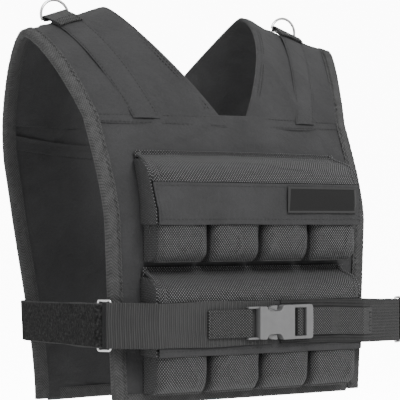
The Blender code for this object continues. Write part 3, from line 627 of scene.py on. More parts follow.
def make_hard_looks():
    # Moulded plastic of the buckle: fine grain and faint scuffs.
    tree, shader = new_material("plastic", 0.42)
    scuffs = noise_value(tree, 120.0, 5.0)
    paint(tree, shader, scuffs, grey(0.115, 0.01), grey(0.160, 0.01))
    bump(tree, shader, (noise_value(tree, 2400.0), 0.00006), (scuffs, 0.0001))

    # Polished wire, lightly stained.
    tree, shader = new_material("chrome", 0.14, metallic=1.0)
    paint(tree, shader, noise_value(tree, 90.0, 3.0), grey(0.62), grey(0.86))
    bump(tree, shader, (noise_value(tree, 260.0), 0.00008))

    # Rubber of the label, paler on its rim.
    tree, shader = new_material("rubber", 0.50, shine=0.25)
    grain = noise_value(tree, 900.0)
    shares = []
    for reach, size in zip(cloth_place(tree), (LABEL_WIDTH, LABEL_HEIGHT)):
        shares.append(value_node(tree, "DIVIDE", value_node(tree, "ABSOLUTE", reach), 0.5 * size - 0.0018))
    rim = value_node(tree, "GREATER_THAN", value_node(tree, "MAXIMUM", *shares), 1.0)
    paint(tree, shader, weighted(tree, (grain, 0.2), (rim, 0.8)), grey(0.006), grey(0.034))
    bump(tree, shader, (grain, 0.00022))

    # Floor, and the bright screen behind the vest.
    tree, shader = new_material("backdrop", 0.9)
    paint(tree, shader, noise_value(tree, 0.5, 1.0), grey(0.92), grey(0.95))
    shader.inputs["Emission Color"].default_value = grey(1.0)
    shader.inputs["Emission Strength"].default_value = 10.0
    tree, shader = new_material("studio", 0.9)
    paint(tree, shader, noise_value(tree, 0.6, 1.0), grey(0.86), grey(0.90))


# ---- panels, straps and tape

def make_panel(name, side):
    seed = {FRONT: 3.0, BACK: 8.0}[side]
    flap_top = BLOCKS["upper"]["top"]

    def place(u, v):
        z = mix(-HEM_DROP[side], -SEAM_DROP + 0.004, v)
        x = (2.0 * u - 1.0) * half_width(side, z)
        free = smooth_share(1.0 - abs(2.0 * u - 1.0), 0.0, 0.12)
        if side == FRONT:
            inside = smooth_share(BLOCK_HALF + 0.006 - abs(x - BLOCK_CENTRE), 0.0, 0.010)
            free *= 1.0 - inside * smooth_share(-z, flap_top - 0.012, flap_top)
        height = 0.0016 * ripple(1.6 * x, 0.8 * z, seed, 0.075) + 0.0019 * crease(x, 1.4 * z, seed + 1.0, 0.085)
        return level_face(side, x, z, free * height)

    sheet(name, "cloth", place, 72, 64, PANEL_WALL)


def make_yoke(name, hand):
    """Shoulder strap from panel to panel, padded, with a double seam near its neck edge."""
    surface = lambda across, along: yoke_point(hand, across, along)

    def place(u, v):
        along = mix(-YOKE_LAP, 1.0, v)
        point = surface(u, along)
        free = smooth_share(min(u, 1.0 - u), 0.0, 0.12) * smooth_share(1.0 - abs(along), -0.02, 0.05)
        height = 0.0014 * ripple(1.5 * point.x, point.z, 5.0 + hand, 0.055)
        height += 0.0018 * crease(2.0 * point.x, point.z, 9.0 + hand, 0.085)
        return lifted(surface, u, along, free * height)

    obj = sheet(name, "cloth", place, 30, 130, YOKE_WALL)
    obj.modifiers["rim"].width = YOKE_RIM
    whole = lambda u, v: surface(u, 2.0 * v - 1.0)
    top = 0.5 * YOKE_WALL + 0.0001
    stitch_columns(whole, (0.045, 0.075), 0.02, 0.98, 90, top)
    stitch_rows(whole, [0.5 + 0.5 * along for along in (-1.034, -0.995, 0.965, 0.93)], 0.02, 0.96, 40, top)


def side_edge(hand, side, share):
    """Point on the edge of panel or armhole, the way inward over the cloth, and the cloth's normal."""
    if share < PANEL_SHARE:
        v = mix(-HEM_DROP[side], -SEAM_DROP, share / PANEL_SHARE)
        u = hand * half_width(side, v)
        surface, inside = (lambda a, b: body_point(side, a, b)), u - hand * TAPE_WIDTH
    else:
        v = side * mix(1.0, CREST_SHARE, (share - PANEL_SHARE) / (1.0 - PANEL_SHARE))
        u = 1.0
        surface, inside = (lambda a, b: yoke_point(hand, a, b)), 0.9
    edge = surface(u, v)
    return edge, (surface(inside, v) - edge).normalized(), outward(surface, u, v)


def make_binding(name, hand, side):
    """Edge tape folded over the side of a panel and the armhole, puckered by its zigzag stitch."""
    clear = 0.5 * YOKE_WALL + CURVE_GAP + 0.5 * TAPE_WALL
    cached = {}

    def place(u, v):
        if v not in cached:
            cached[v] = side_edge(hand, side, v)
        edge, inward, normal = cached[v]
        run, rise = folded(u, TAPE_WIDTH, clear)
        pucker = 0.00055 * math.sin(2.0 * math.pi * v * PUCKERS)
        pucker += 0.0004 * ripple(v, u * 0.02, 4.0 + side + hand, 0.02)
        if u < 0.25:
            rise += 0.0006 * (1.0 - abs(8.0 * u - 1.0)) - 0.0007 + pucker
        elif u <= 0.75:
            rise += pucker * (rise / clear) ** 2
        return edge + inward * run + normal * rise

    sheet(name, "tape", place, 24, 170, TAPE_WALL)
    top = clear + 0.5 * TAPE_WALL - 0.0002
    for face in (1.0, -1.0):
        points, normals = [], []
        for step in range(ZIGZAGS + 1):
            edge, inward, normal = side_edge(hand, side, mix(0.004, 0.996, step / ZIGZAGS))
            inset = 0.0048 if step % 2 else 0.0012
            points.append(edge + inward * (TAPE_WIDTH - inset) + normal * (face * top))
            normals.append(normal * face)
        for first, second, normal in zip(points, points[1:], normals):
            length = (second - first).length
            STITCHES.append(((first + second) * 0.5, (second - first) / length, normal, length, FINE_STITCH))


def make_hem(name, side):
    """Narrow tape folded over the lower edge of a panel."""
    low, height = -HEM_DROP[side], {FRONT: 0.009, BACK: 0.012}[side]
    clear = 0.5 * PANEL_WALL + 0.5 * TAPE_WALL + 0.0002

    def place(u, v):
        run, lift = folded(v, height, clear)
        x = (2.0 * u - 1.0) * (half_width(side, low + max(run, 0.0)) - TAPE_WIDTH - 0.001)
        return level_face(side, x, low + run, lift + 0.0004 * ripple(u * 0.3, v * 0.01, 2.0 + side, 0.03))

    sheet(name, "tape", place, 90, 20, TAPE_WALL, extra=True)
    count, half = 60, half_width(side, low) - TAPE_WIDTH - 0.002
    for face in (1.0, -1.0):
        lift = face * (clear + 0.5 * TAPE_WALL)
        row = [mix(-half, half, step / count) for step in range(count + 1)]
        points = [level_face(side, x, low + 0.8 * height, lift) for x in row]
        stitch_line(points, [Vector((0.0, side * face, 0.0))] * len(points))


def make_back_lap():
    """Folded edge of the back panel's lining, where it laps under the yokes."""
    def place(u, v):
        across = 2.0 * u - 1.0
        z = -SEAM_DROP - 0.010 - 0.011 * (1.0 - across * across) - 0.016 * (1.0 - v)
        x = across * (half_width(BACK, z) - 0.006)
        tip = 0.0012 * smooth_share(v, 0.7, 1.0) + 0.0005 * ripple(x, z, 3.0, 0.03)
        return level_face(BACK, x, z, -0.5 * PANEL_WALL - 0.0004 - tip)

    sheet("back_lining_lap", "cloth", place, 70, 8, LINING_WALL, extra=True)
    stitch_rows(place, (0.55,), 0.02, 0.98, 80, -0.0009)


def on_band(hand, u, along, lift):
    """Place over the strap band on the front of a yoke: u goes across the band."""
    down = abs(along) ** YOKE_POWER
    neck, arm = yoke_x(FRONT, 0.0, down), yoke_x(FRONT, 1.0, down)
    x = mix(BAND_CREST_X, BAND_SEAM_X, down**0.9) + (u - 0.5) * BAND_WIDTH
    return lifted(lambda a, b: yoke_point(hand, a, b), (x - neck) / (arm - neck), along, lift)


def make_strap_band(name, hand):
    """Band of the same cloth sewn down along both edges, a little puffed between the seams."""
    lift = 0.5 * YOKE_WALL + GAP + 0.5 * WEBBING_WALL

    def place(u, v):
        puff = 0.0012 * math.sin(math.pi * u) ** 0.7 + 0.0003 * ripple(v * 0.2, u * 0.03, 6.0 + hand, 0.016)
        return on_band(hand, u, mix(-1.015, -0.06, v), lift + puff)

    band = sheet(name, "cloth", place, 14, 90, WEBBING_WALL)
    stitch_columns(place, (0.075, 0.925), 0.01, 0.97, 70, 0.5 * WEBBING_WALL)


def ring_frame(hand):
    """Middle of a shoulder ring's straight bar, the bar's direction, and the way up from the yoke."""
    ends = [Vector((hand * x, 0.0, crest_height(x))) for x in (BAND_CREST_X, BAND_CREST_X + 0.5 * BAND_WIDTH)]
    bar = (ends[1] - ends[0]).normalized() * hand
    up = Vector((-bar.z, 0.0, bar.x))
    return ends[0] + up * (LOOP_LIFT + LOOP_RADIUS), bar, up


def make_ring_loop(name, hand):
    """Webbing sewn to the yoke: under the ring's bar, round it and back over itself."""
    centre, bar, up = ring_frame(hand)
    foot = lambda u, run, lift: on_band(hand, u, -((run / DEPTH[FRONT]) ** 0.9), lift)

    def place(u, v):
        if v < 0.3:
            return foot(u, LOOP_RUN * mix(1.0, 0.12, v / 0.3), LOOP_LIFT)
        if v > 0.7:
            puff = 0.0006 * math.sin(math.pi * u)
            return foot(u, LOOP_RUN * mix(0.40, 1.03, (v - 0.7) / 0.3), LOOP_LIFT + WEBBING_WALL + GAP + puff)
        angle = math.radians(mix(-75.0, -300.0, (v - 0.3) / 0.4))
        turned = Vector((0.0, -math.cos(angle), 0.0)) + up * math.sin(angle)
        return centre + bar * (hand * (u - 0.5) * BAND_WIDTH) + turned * LOOP_RADIUS

    sheet(name, "webbing", place, 12, 60, WEBBING_WALL)
    stitch_columns(place, (0.10, 0.90), 0.74, 0.985, 12, 0.5 * WEBBING_WALL)
    stitch_rows(place, (0.76, 0.90, 0.975), 0.08, 0.92, 12, 0.5 * WEBBING_WALL)


def make_shoulder_ring(name, hand):
    centre, bar, up = ring_frame(hand)
    half = 0.5 * BAND_WIDTH + RING_CLEARANCE + 0.5 * RING_WIRE
    points = [centre + bar * mix(-half, half, step / 6) for step in range(7)]
    for step in range(1, 40):
        angle = math.pi * step / 40
        points.append(centre + bar * (half * math.cos(angle)) + up * (RING_STRAIGHT + half * math.sin(angle)))
    wire_loop(name, points, RING_WIRE, name.split("_")[0] + "_ring")


# ---- pocket blocks

def block_section(t, low, front, top):
    """Once round a filled block, over its bottom, front, top and back: share of its height and of its depth."""
    if t < low:
        return 0.0, t / low
    if t < front:
        return (t - low) / (front - low), 1.0
    if t < top:
        return 1.0, 1.0 - (t - front) / (top - front)
    return 1.0 - (t - top) / (1.0 - top), 0.0


def pocket_depth(share):
    """Depth of a pocket's front at this height, as a share: full, with a round lower corner."""
    round_low = rounded_step(1.0 - share, 0.80)
    return mix(0.55, 1.0, round_low) * (0.97 + 0.045 * math.sin(math.pi * min(share / 0.62, 1.0)))


def make_pocket(name, number, bottom, height, seed):
    """Filled pocket that bulges between its seams, flat under flap and belt, with piping along its lower edge."""
    pitch = 2.0 * BLOCK_HALF / POCKETS
    centre = BLOCK_CENTRE - BLOCK_HALF + pitch * (number + 0.5)
    half = 0.5 * (pitch - POCKET_GAP)
    belt_top = BELT_DROP - 0.5 * BELT_WIDTH

    def place(u, t):
        a = 2.0 * u - 1.0
        share, out = block_section(t, 0.20, 0.62, 0.80)
        deep = POCKET_DEPTH * pocket_depth(share) * mix(0.80, 1.0, rounded_step(abs(a), 0.74))
        x = centre + a * half * mix(1.0, 0.968, out)
        z = bottom + height * share
        sag = 0.0016 * (1.0 - a * a) * math.sin(math.pi * share)
        sag += 0.0011 * ripple(x, z, seed, 0.022) + 0.0016 * crease(1.3 * x, 1.6 * z, seed + 3.0, 0.050)
        sag *= out * smooth_share(share, 0.0, 0.10)
        cover = mix(1.0, 0.9, smooth_share(-z, belt_top - 0.012, belt_top))
        if share >= 0.45:
            cover *= 1.0 - smooth_share(share, 0.45, 0.60)
        return level_face(FRONT, x, z, BLOCK_BASE + (deep + max(sag, -0.002) * cover - BLOCK_BASE) * out)

    loft(name, "coarse", place, 30, 96)
    pipe(name + "_piping", [place(mix(0.03, 0.97, s / 24), 0.205) for s in range(25)], PIPING_RADIUS)


# A flap's roll from its bottom to its top: height and depth, both as shares.
ROLL_DEPTHS = (
    (0.00, 1.09), (0.22, 1.10), (0.42, 1.04), (0.60, 0.86),
    (0.71, 0.66), (0.79, 0.36), (0.84, 0.12), (1.00, 0.08),
)


def roll_depth(share):
    for (low, first), (high, second) in zip(ROLL_DEPTHS, ROLL_DEPTHS[1:]):
        if share <= high:
            return mix(first, second, (share - low) / (high - low))
    return ROLL_DEPTHS[-1][1]


def make_roll(name, bottom, height, band_height, seed):
    """Filled upper part of a flap: coarse cloth tucked in at both ends, with welts, side gussets and a sewn flange."""
    def place(u, t):
        a = 2.0 * u - 1.0
        share, out = block_section(t, 0.22, 0.74, 0.74)
        blur = 0.5 * (roll_depth(max(share - 0.06, 0.0)) + roll_depth(min(share + 0.06, 1.0)))
        end = mix(0.80, 1.0, rounded_step(abs(a), 0.955))
        deep = max(POCKET_DEPTH * blur * end, BLOCK_BASE + FLAP_WALL)
        x = BLOCK_CENTRE + a * (BLOCK_HALF - 0.004 * share**3)
        z = bottom + height * share
        sag = 0.0011 * ripple(x, 1.6 * z, seed, 0.040) + 0.0014 * crease(0.7 * x, 2.0 * z, seed + 2.0, 0.060)
        tuck = hump(abs(a), 0.925 + 0.03 * share, 0.012) + 0.7 * hump(abs(a), 0.965, 0.010)
        sag -= 0.0022 * tuck * math.sin(math.pi * min(share + 0.15, 1.0))
        return level_face(FRONT, x, z, BLOCK_BASE + (deep + sag * smooth_share(share, 0.02, 0.15) - BLOCK_BASE) * out)

    loft(name, "coarse", place, 150, 72)
    for word, u in (("right", 0.004), ("left", 0.996)):
        welt = [place(u, mix(0.225, 0.86, s / 30)) for s in range(31)]
        pipe(f"{name}_{word}_welt", welt, WELT_RADIUS, "coarse")

    for hand, word in SIDES:
        def gusset(u, v):
            z = bottom + mix(-band_height, 0.72 * height, v)
            deep = POCKET_DEPTH * (min(roll_depth(max(z - bottom, 0.0) / height), 1.075) - 0.05)
            puff = 0.0014 * math.sin(math.pi * u) * (0.4 + 0.6 * ripple(z, u * 0.03, seed + hand, 0.02))
            x = BLOCK_CENTRE + hand * (BLOCK_HALF + 0.0012 + puff)
            return level_face(FRONT, x, z, mix(BLOCK_BASE, deep, u))

        sheet(f"{name}_{word}_gusset", "coarse", gusset, 12, 30, COVER_WALL, extra=True)

    def flange(u, v):
        x = BLOCK_CENTRE + (2.0 * u - 1.0) * (BLOCK_HALF + 0.001)
        tip = 0.0010 * smooth_share(v, 0.5, 1.0) + 0.0006 * ripple(x, 0.0, seed + 4.0, 0.05)
        return level_face(FRONT, x, bottom + height + mix(-0.0070, 0.0004, v), BLOCK_BASE + 0.0036 + tip)

    sheet(name + "_flange", "coarse", flange, 90, 5, COVER_WALL, extra=True)
    stitch_rows(flange, (0.80,), 0.01, 0.99, 80, 0.5 * COVER_WALL)


def make_flap_band(name, bottom, height, seed):
    """Smooth band of a flap: hemmed along its lower edge and gently waved."""
    hem = 0.008

    def place(u, v):
        x = BLOCK_CENTRE + (2.0 * u - 1.0) * BLOCK_HALF
        z = bottom + height * v
        loose = (1.0 - v) * smooth_share(v + 0.6, 0.0, 1.0)
        wave_out = 0.0010 * ripple(x, 0.3 * z, seed, 0.050) * (0.3 + 0.7 * loose)
        wave_out += 0.0007 * crease(x, 0.35 * z, seed + 1.0, 0.080)
        turned = 0.0005 * (1.0 - smooth_share(height * v, hem - 0.001, hem))
        drop = 0.0008 * ripple(x, 0.0, seed + 2.0, 0.060) * (1.0 - v)
        return level_face(FRONT, x, z + drop, FLAP_LIFT + max(wave_out, -0.0004) + turned)

    band = sheet(name, "cloth", place, 150, 26, FLAP_WALL)
    stitch_rows(place, (0.006 / height, 1.0 - 0.0035 / height), 0.006, 0.994, 90, 0.5 * FLAP_WALL)
    stitch_columns(place, (0.010, 0.990), 0.05, 0.95, 16, 0.5 * FLAP_WALL)


def make_label(name):
    """Bare rubber patch with a raised rim, on the upper flap."""
    block = BLOCKS["upper"]
    middle = -block["top"] - block["roll"] - 0.40 * block["band"]
    lift = FLAP_LIFT + 0.5 * FLAP_WALL + 3.0 * GAP + LABEL_WALL

    def place(u, v):
        edge = min(min(u, 1.0 - u) * LABEL_WIDTH, min(v, 1.0 - v) * LABEL_HEIGHT)
        rim = 0.0007 * (1.0 - smooth_share(edge, 0.0016, 0.0024))
        x, z = LABEL_X + (u - 0.5) * LABEL_WIDTH, middle + (v - 0.5) * LABEL_HEIGHT
        return level_face(FRONT, x, z, lift + rim)

    sheet(name, "rubber", place, 90, 28, LABEL_WALL)


# ---- belt

def belt_sag(x):
    return LEFT_BELT_SAG * smooth_share(x, PLUG_END_X, BELT_RINGS[LEFT][0])


def belt_middle(x, lift):
    point = level_face(FRONT, x, -BELT_DROP, lift)
    point.z -= belt_sag(x)
    return point


def strap_ring(hand):
    """Front and rear bar of a ring between belt and side strap, and the way from the belt to it."""
    x, y = BELT_RINGS[hand]
    middle = Vector((x, y, -BELT_DROP - belt_sag(x)))
    heading = middle - belt_middle(BLOCK_CENTRE + hand * BLOCK_HALF, BELT_LIFT)
    heading.z = 0.0
    heading.normalize()
    reach = heading * 0.5 * STRAP_RING_LENGTH
    return middle - reach, middle + reach, heading


def fold_round(bar, heading, turn):
    """Strap round a ring's bar and back on itself, turning to one side or the other."""
    inner = beside(heading) * turn
    radius = 0.5 * STRAP_RING_WIRE + 3.0 * GAP + 0.5 * STRAP_WALL
    path = []
    for step in range(13):
        angle = math.pi * step / 12
        path.append(bar + heading * radius * math.sin(angle) - inner * radius * math.cos(angle))
    return path + [bar + inner * radius - heading * run for run in (0.5 * STRAP_FOLD, STRAP_FOLD)]


def belt_path(hand, end_x):
    bar, _, heading = strap_ring(hand)
    corner = BLOCK_CENTRE + hand * BLOCK_HALF
    points = [belt_middle(mix(end_x, corner, share / 4), BELT_LIFT) for share in range(5)]
    return smooth_path(points) + fold_round(bar, heading, -hand)


def strip(name, look, path, width, wall, spacing=0.0025, rows=14, edge_wave=0.0, relief=None):
    """Strap standing on edge along a path in plan. Returns its surface and length."""
    path = evenly(path, spacing)
    count = len(path) - 1

    def place(u, v):
        ahead = along_path(path, u + 1.0 / count) - along_path(path, u - 1.0 / count)
        rise = (v - 0.5) * width
        run = u * count * spacing
        wobble = edge_wave * ripple(run, 0.0, len(name) * 0.7, 0.05) * (2.0 * v - 1.0)
        out = relief(run, rise) if relief else 0.0
        return along_path(path, u) + beside(ahead).normalized() * out + Vector((0.0, 0.0, rise + wobble))

    sheet(name, look, place, count, rows, wall)
    return place, count * spacing


def make_belt():
    """Ribbed elastic on the right and plain band on the left, each folded round its ring."""
    ribs = lambda run, rise: 0.00025 * math.sin(2.0 * math.pi * run / 0.0048) + 0.0004 * ripple(run, rise, 1.0, 0.03)
    strip("front_elastic", "elastic", belt_path(RIGHT, ELASTIC_END_X), BELT_WIDTH, STRAP_WALL,
          spacing=0.0012, edge_wave=0.0006, relief=ribs)
    wide, _ = strip("front_wide_band", "band", belt_path(LEFT, WIDE_BAND_START_X), BELT_WIDTH, STRAP_WALL,
                    edge_wave=0.0003)
    stitch_rows(wide, (0.07, 0.93), 0.01, 0.72, 80, 0.5 * STRAP_WALL)
    stitch_columns(wide, (0.012,), 0.07, 0.93, 14, 0.5 * STRAP_WALL)


def make_strap_ring(name, hand):
    front_bar, rear_bar, _ = strap_ring(hand)
    rise = Vector((0.0, 0.0, 0.5 * BELT_WIDTH + RING_CLEARANCE + 0.5 * STRAP_RING_WIRE))
    corners = [front_bar - rise, rear_bar - rise, rear_bar + rise, front_bar + rise]
    wire_loop(name, corner_path(corners, 0.0022), STRAP_RING_WIRE)


def make_side_strap(name, hand):
    """Pile strap from the back panel's edge to the ring, folded round its rear bar."""
    _, bar, _ = strap_ring(hand)
    edge_x = half_width(BACK, -BACK_BELT_DROP)
    lift, spacing = BACK_STRAP_LIFT, 0.003
    corner = level_face(BACK, hand * edge_x, -BACK_BELT_DROP, lift + 0.5 * STRAP_WALL)
    turn = Vector((hand * (edge_x + 1.6 * lift), corner.y - 0.4 * lift, -BACK_BELT_DROP))
    flank = Vector((hand * (edge_x + 2.2 * lift), corner.y - 4.0 * lift, -BACK_BELT_DROP))
    heading = (bar - flank).normalized()
    heading.z = 0.0
    heading.normalize()
    fold = fold_round(bar, heading, hand)
    path = smooth_path([corner, turn, flank, mix(flank, fold[0], 0.5), fold[0]])[:-1] + fold
    path = evenly(path, spacing)
    count = len(path) - 1

    def place(u, v):
        rise = (v - 0.5) * SIDE_STRAP_WIDTH
        lean = back_lean(rise - BACK_BELT_DROP) - back_lean(-BACK_BELT_DROP)
        wobble = 0.0008 * ripple(u * count * spacing, 0.0, 3.0 + hand, 0.06) * (2.0 * v - 1.0)
        return along_path(path, u) + Vector((0.0, -lean * (1.0 - u), rise + wobble))

    sheet(name, "pile", place, count, 12, STRAP_WALL)


def make_back_strap(name):
    """Strap across the back, sewn down with a crossed box at each end."""
    edge_x = half_width(BACK, -BACK_BELT_DROP) - GAP

    def place(u, v):
        z = -BACK_BELT_DROP + (v - 0.5) * SIDE_STRAP_WIDTH
        lift = BACK_STRAP_LIFT + 0.0003 * ripple(u * 0.27, z, 2.0, 0.03)
        return level_face(BACK, mix(-edge_x, edge_x, u), z, lift)

    sheet(name, "pile", place, 90, 14, STRAP_WALL)
    top = 0.5 * STRAP_WALL
    stitch_rows(place, (0.08, 0.92), 0.03, 0.97, 60, top)
    stitch_columns(place, (0.03, 0.18, 0.82, 0.97), 0.08, 0.92, 12, top)
    for start, end in ((0.03, 0.18), (0.82, 0.97)):
        for low, high in ((0.08, 0.92), (0.92, 0.08)):
            stitch_row(place, (start, low), (end, high), 12, top)


# ---- buckle and its webbing

def buckle_point(x, lift):
    """Point over the panel where the buckle lies, flat and not bent with the belt."""
    face = body_point(FRONT, 0.5 * (SOCKET_START_X + PLUG_END_X), -BELT_DROP).y
    return Vector((x, face - lift, -BELT_DROP))


def narrow_lift(layer):
    return BELT_LIFT + 0.5 * STRAP_WALL + GAP + 0.5 * WEBBING_WALL + layer * (WEBBING_WALL + GAP)


BAR_LIFT = narrow_lift(0) + 0.5 * WEBBING_WALL + GAP + 0.5 * BAR_THICK
PLUG_LIFT = narrow_lift(1) + 0.5 * WEBBING_WALL + GAP + 0.5 * PLUG_THICK
WEBBING_REACH = 0.5 * BAR_WIDTH + GAP + 0.5 * WEBBING_WALL
PLUG_BAR_X = mix(SOCKET_END_X, PLUG_END_X - END_BAR_WIDTH, 0.5)


def on_belt(x, layer):
    return belt_middle(x, narrow_lift(layer))


def square_turn(angle):
    """Sine and cosine of a half turn with squarer corners."""
    sine, cosine = math.sin(angle), math.cos(angle)
    return abs(sine) ** 0.4, math.copysign(abs(cosine) ** 0.4, cosine)


def make_buckle_tab():
    """Short webbing sewn to the elastic, round the socket's bar and back, with a crossed box of stitches."""
    bar_x = SOCKET_START_X + 0.5 * BAR_WIDTH
    rise = 0.5 * BAR_THICK + GAP + 0.5 * WEBBING_WALL
    path = [on_belt(TAB_START_X, 0), on_belt(mix(TAB_START_X, bar_x, 0.5), 0)]
    path.append(buckle_point(bar_x - BAR_WIDTH, narrow_lift(0)))
    for step in range(9):
        across, along = square_turn(math.pi * step / 8)
        path.append(buckle_point(bar_x + WEBBING_REACH * across, BAR_LIFT - rise * along))
    path.append(buckle_point(bar_x - 0.8 * WEBBING_REACH, BAR_LIFT + rise))
    path.append(buckle_point(bar_x - 3.0 * BAR_WIDTH, narrow_lift(1.4)))
    path += [on_belt(mix(TAB_START_X, bar_x, 0.4), 1), on_belt(TAB_START_X, 1)]
    tab, length = strip("buckle_tab", "webbing", path, NARROW_WIDTH, WEBBING_WALL,
                        spacing=0.0008, rows=18, edge_wave=0.0003)
    near, far = 1.0 - 0.0035 / length, 1.0 - 0.0270 / length
    box = ((near, 0.1, near, 0.9), (far, 0.1, far, 0.9), (near, 0.1, far, 0.1), (near, 0.9, far, 0.9))
    cross = ((near, 0.1, far, 0.9), (near, 0.9, far, 0.1))
    for line in box + cross:
        stitch_row(tab, line[:2], line[2:], 12, 0.5 * WEBBING_WALL, FINE_STITCH)


def make_long_webbing():
    """Webbing from the left round the plug's bar and back, with its tail sewn down."""
    rise = 0.5 * PLUG_THICK + GAP + 0.5 * WEBBING_WALL
    path = [on_belt(TAIL_END_X, 0), on_belt(PLUG_BAR_X + WEBBING_REACH, 0)]
    path.append(buckle_point(PLUG_BAR_X - 0.5 * WEBBING_REACH, narrow_lift(0.1)))
    path.append(buckle_point(PLUG_BAR_X - WEBBING_REACH, PLUG_LIFT - 0.5 * PLUG_THICK))
    for step in range(7):
        across, along = square_turn(math.pi * step / 6)
        path.append(buckle_point(PLUG_BAR_X - WEBBING_REACH * along, PLUG_LIFT + rise * across))
    path.append(buckle_point(PLUG_BAR_X + 1.6 * WEBBING_REACH, narrow_lift(1.3)))
    path.append(buckle_point(PLUG_END_X - END_BAR_WIDTH, narrow_lift(1)))
    path += [on_belt(TAIL_END_X, 1), on_belt(TAIL_END_X + 8.0 * WEBBING_WALL, 0.1)]
    corner = BLOCK_CENTRE + BLOCK_HALF
    path += [on_belt(mix(TAIL_END_X, corner, share / 4), 0.1) for share in (2, 3, 4)]
    heading = strap_ring(LEFT)[2]
    path.append(path[-1] + heading * (NARROW_END_X - corner) + beside(heading) * CURVE_GAP)
    web, _ = strip("long_webbing", "webbing", path, NARROW_WIDTH, WEBBING_WALL, spacing=0.0010, rows=18)
    stitch_columns(web, (0.965, 0.985), 0.06, 0.94, 10, 0.5 * WEBBING_WALL)


def prism(cage, outline, low, high):
    """Adds a plate of this outline, x and z on the belt, between two heights above the panel."""
    rings = []
    for lift in (low, high):
        rings.append([cage.verts.new(buckle_point(x, lift) + Vector((0.0, 0.0, z))) for x, z in outline])
    cage.faces.new(rings[0])
    cage.faces.new(rings[1][::-1])
    for i in range(len(outline)):
        k = (i + 1) % len(outline)
        cage.faces.new((rings[0][k], rings[0][i], rings[1][i], rings[1][k]))


def plates(name, parts, rim):
    """Moulded piece of several plates with rounded edges."""
    cage = bmesh.new()
    for outline, low, high in parts:
        prism(cage, outline, low, high)
    bmesh.ops.recalc_face_normals(cage, faces=cage.faces[:])
    mesh = bpy.data.meshes.new(name)
    cage.to_mesh(mesh)
    cage.free()
    mesh.shade_smooth()
    obj = finish_piece(bpy.data.objects.new(name, mesh), name, "plastic")
    round_rim(obj, rim, 4, 40.0).harden_normals = True


def twins(outline):
    """This outline below and above the belt's middle."""
    return [[(x, sign * z) for x, z in outline] for sign in (-1.0, 1.0)]


def bar_outline(x0, x1, half):
    return [(x0, -half), (x1, -half), (x1, half), (x0, half)]


def arc(cx, cz, rx, rz, start, end, steps):
    turns = [math.radians(mix(start, end, s / steps)) for s in range(steps + 1)]
    return [(cx + rx * math.cos(t), cz + rz * math.sin(t)) for t in turns]


def make_buckle():
    """Side-release buckle: a socket with a curved notch above and below, and a plug whose catches show in them."""
    base = narrow_lift(0) - 0.5 * WEBBING_WALL
    half = 0.5 * BUCKLE_HEIGHT
    inside = 0.5 * NARROW_WIDTH + GAP
    start = SOCKET_BODY_X + 0.26 * (SOCKET_END_X - SOCKET_BODY_X)
    end = start + NOTCH_LENGTH
    upper = [(SOCKET_END_X, half), (end + 0.0022, half)]
    upper += arc(end - 0.0040, half, 0.0046, NOTCH_DEPTH, 0.0, -90.0, 7)[1:]
    upper += arc(start + 0.0030, half - 0.0010, 0.0050, NOTCH_DEPTH - 0.0010, -90.0, -170.0, 7)
    upper += [(start - 0.0032, half - 0.0008), (SOCKET_BODY_X, half - 0.0012)]
    body = [*upper, *((x, -z) for x, z in upper[::-1])]
    arm_x, arm_half = SOCKET_BODY_X + 0.002, half - 0.0010
    arm = [(arm_x, inside), (SOCKET_START_X, inside), (SOCKET_START_X - 0.0002, arm_half), (arm_x, arm_half)]
    parts = [(body, base, base + BUCKLE_THICK)]
    parts += [(outline, base, base + 0.62 * BUCKLE_THICK) for outline in twins(arm)]
    bar = bar_outline(SOCKET_START_X, SOCKET_START_X + BAR_WIDTH, inside + 0.001)
    parts.append((bar, BAR_LIFT - 0.5 * BAR_THICK, BAR_LIFT + 0.5 * BAR_THICK))
    plates("buckle_socket", parts, 0.0009)

    low, high = PLUG_LIFT - 0.5 * PLUG_THICK, PLUG_LIFT + 0.5 * PLUG_THICK
    first, last = SOCKET_END_X + GAP, PLUG_END_X - 0.006
    rail = [(first, inside), (last, inside), (last, half), (first, half)]
    parts = [(outline, low, high + 0.0008) for outline in twins(rail)]
    parts.append((bar_outline(PLUG_BAR_X - 0.5 * BAR_WIDTH, PLUG_BAR_X + 0.5 * BAR_WIDTH, inside), low, high))
    bow = arc(PLUG_END_X - 0.0026, half - 0.0035, 0.0026, 0.0035, 90.0, 0.0, 5)
    bow += [(PLUG_END_X + 0.0004, 0.0)] + [(x, -z) for x, z in bow[::-1]]
    bow += [(PLUG_END_X - END_BAR_WIDTH, -half), (PLUG_END_X - END_BAR_WIDTH, half)]
    parts.append((bow, low, high + 0.0010))
    # Catches and their ribs, measured from the notch's start and down from the buckle's edge.
    catch = ((0.0004, NOTCH_DEPTH + 0.001), (0.0010, 0.0026), (0.0050, 0.0006), (0.0118, 0.0002),
             (0.0112, NOTCH_DEPTH - 0.0012), (0.0085, NOTCH_DEPTH + 0.001))
    rib = ((0.0018, 0.0030), (0.0100, 0.0056), (0.0104, 0.0048), (0.0022, 0.0022))
    catches, ribs = (twins([(start + x, half - z) for x, z in outline]) for outline in (catch, rib))
    for catch, rib in zip(catches, ribs):
        parts += [(catch, low - 0.0006, high + 0.0006), (rib, high, high + 0.0014)]
    plates("buckle_plug", parts, 0.0006)


# ---- camera, light and floor

def aimed(name, data, place, heading):
    """Camera or lamp that looks along this heading."""
    obj = bpy.data.objects.new(name, data)
    obj.location = place
    obj.rotation_mode = "QUATERNION"
    obj.rotation_quaternion = heading.to_track_quat("-Z", "Y")
    bpy.context.scene.collection.objects.link(obj)
    return obj


def board(name, look, corners):
    mesh = bpy.data.meshes.new(name)
    mesh.from_pydata(corners, [], [(0, 1, 2, 3)])
    mesh.materials.append(MATERIALS[look])
    obj = bpy.data.objects.new(name, mesh)
    bpy.context.scene.collection.objects.link(obj)
    return obj


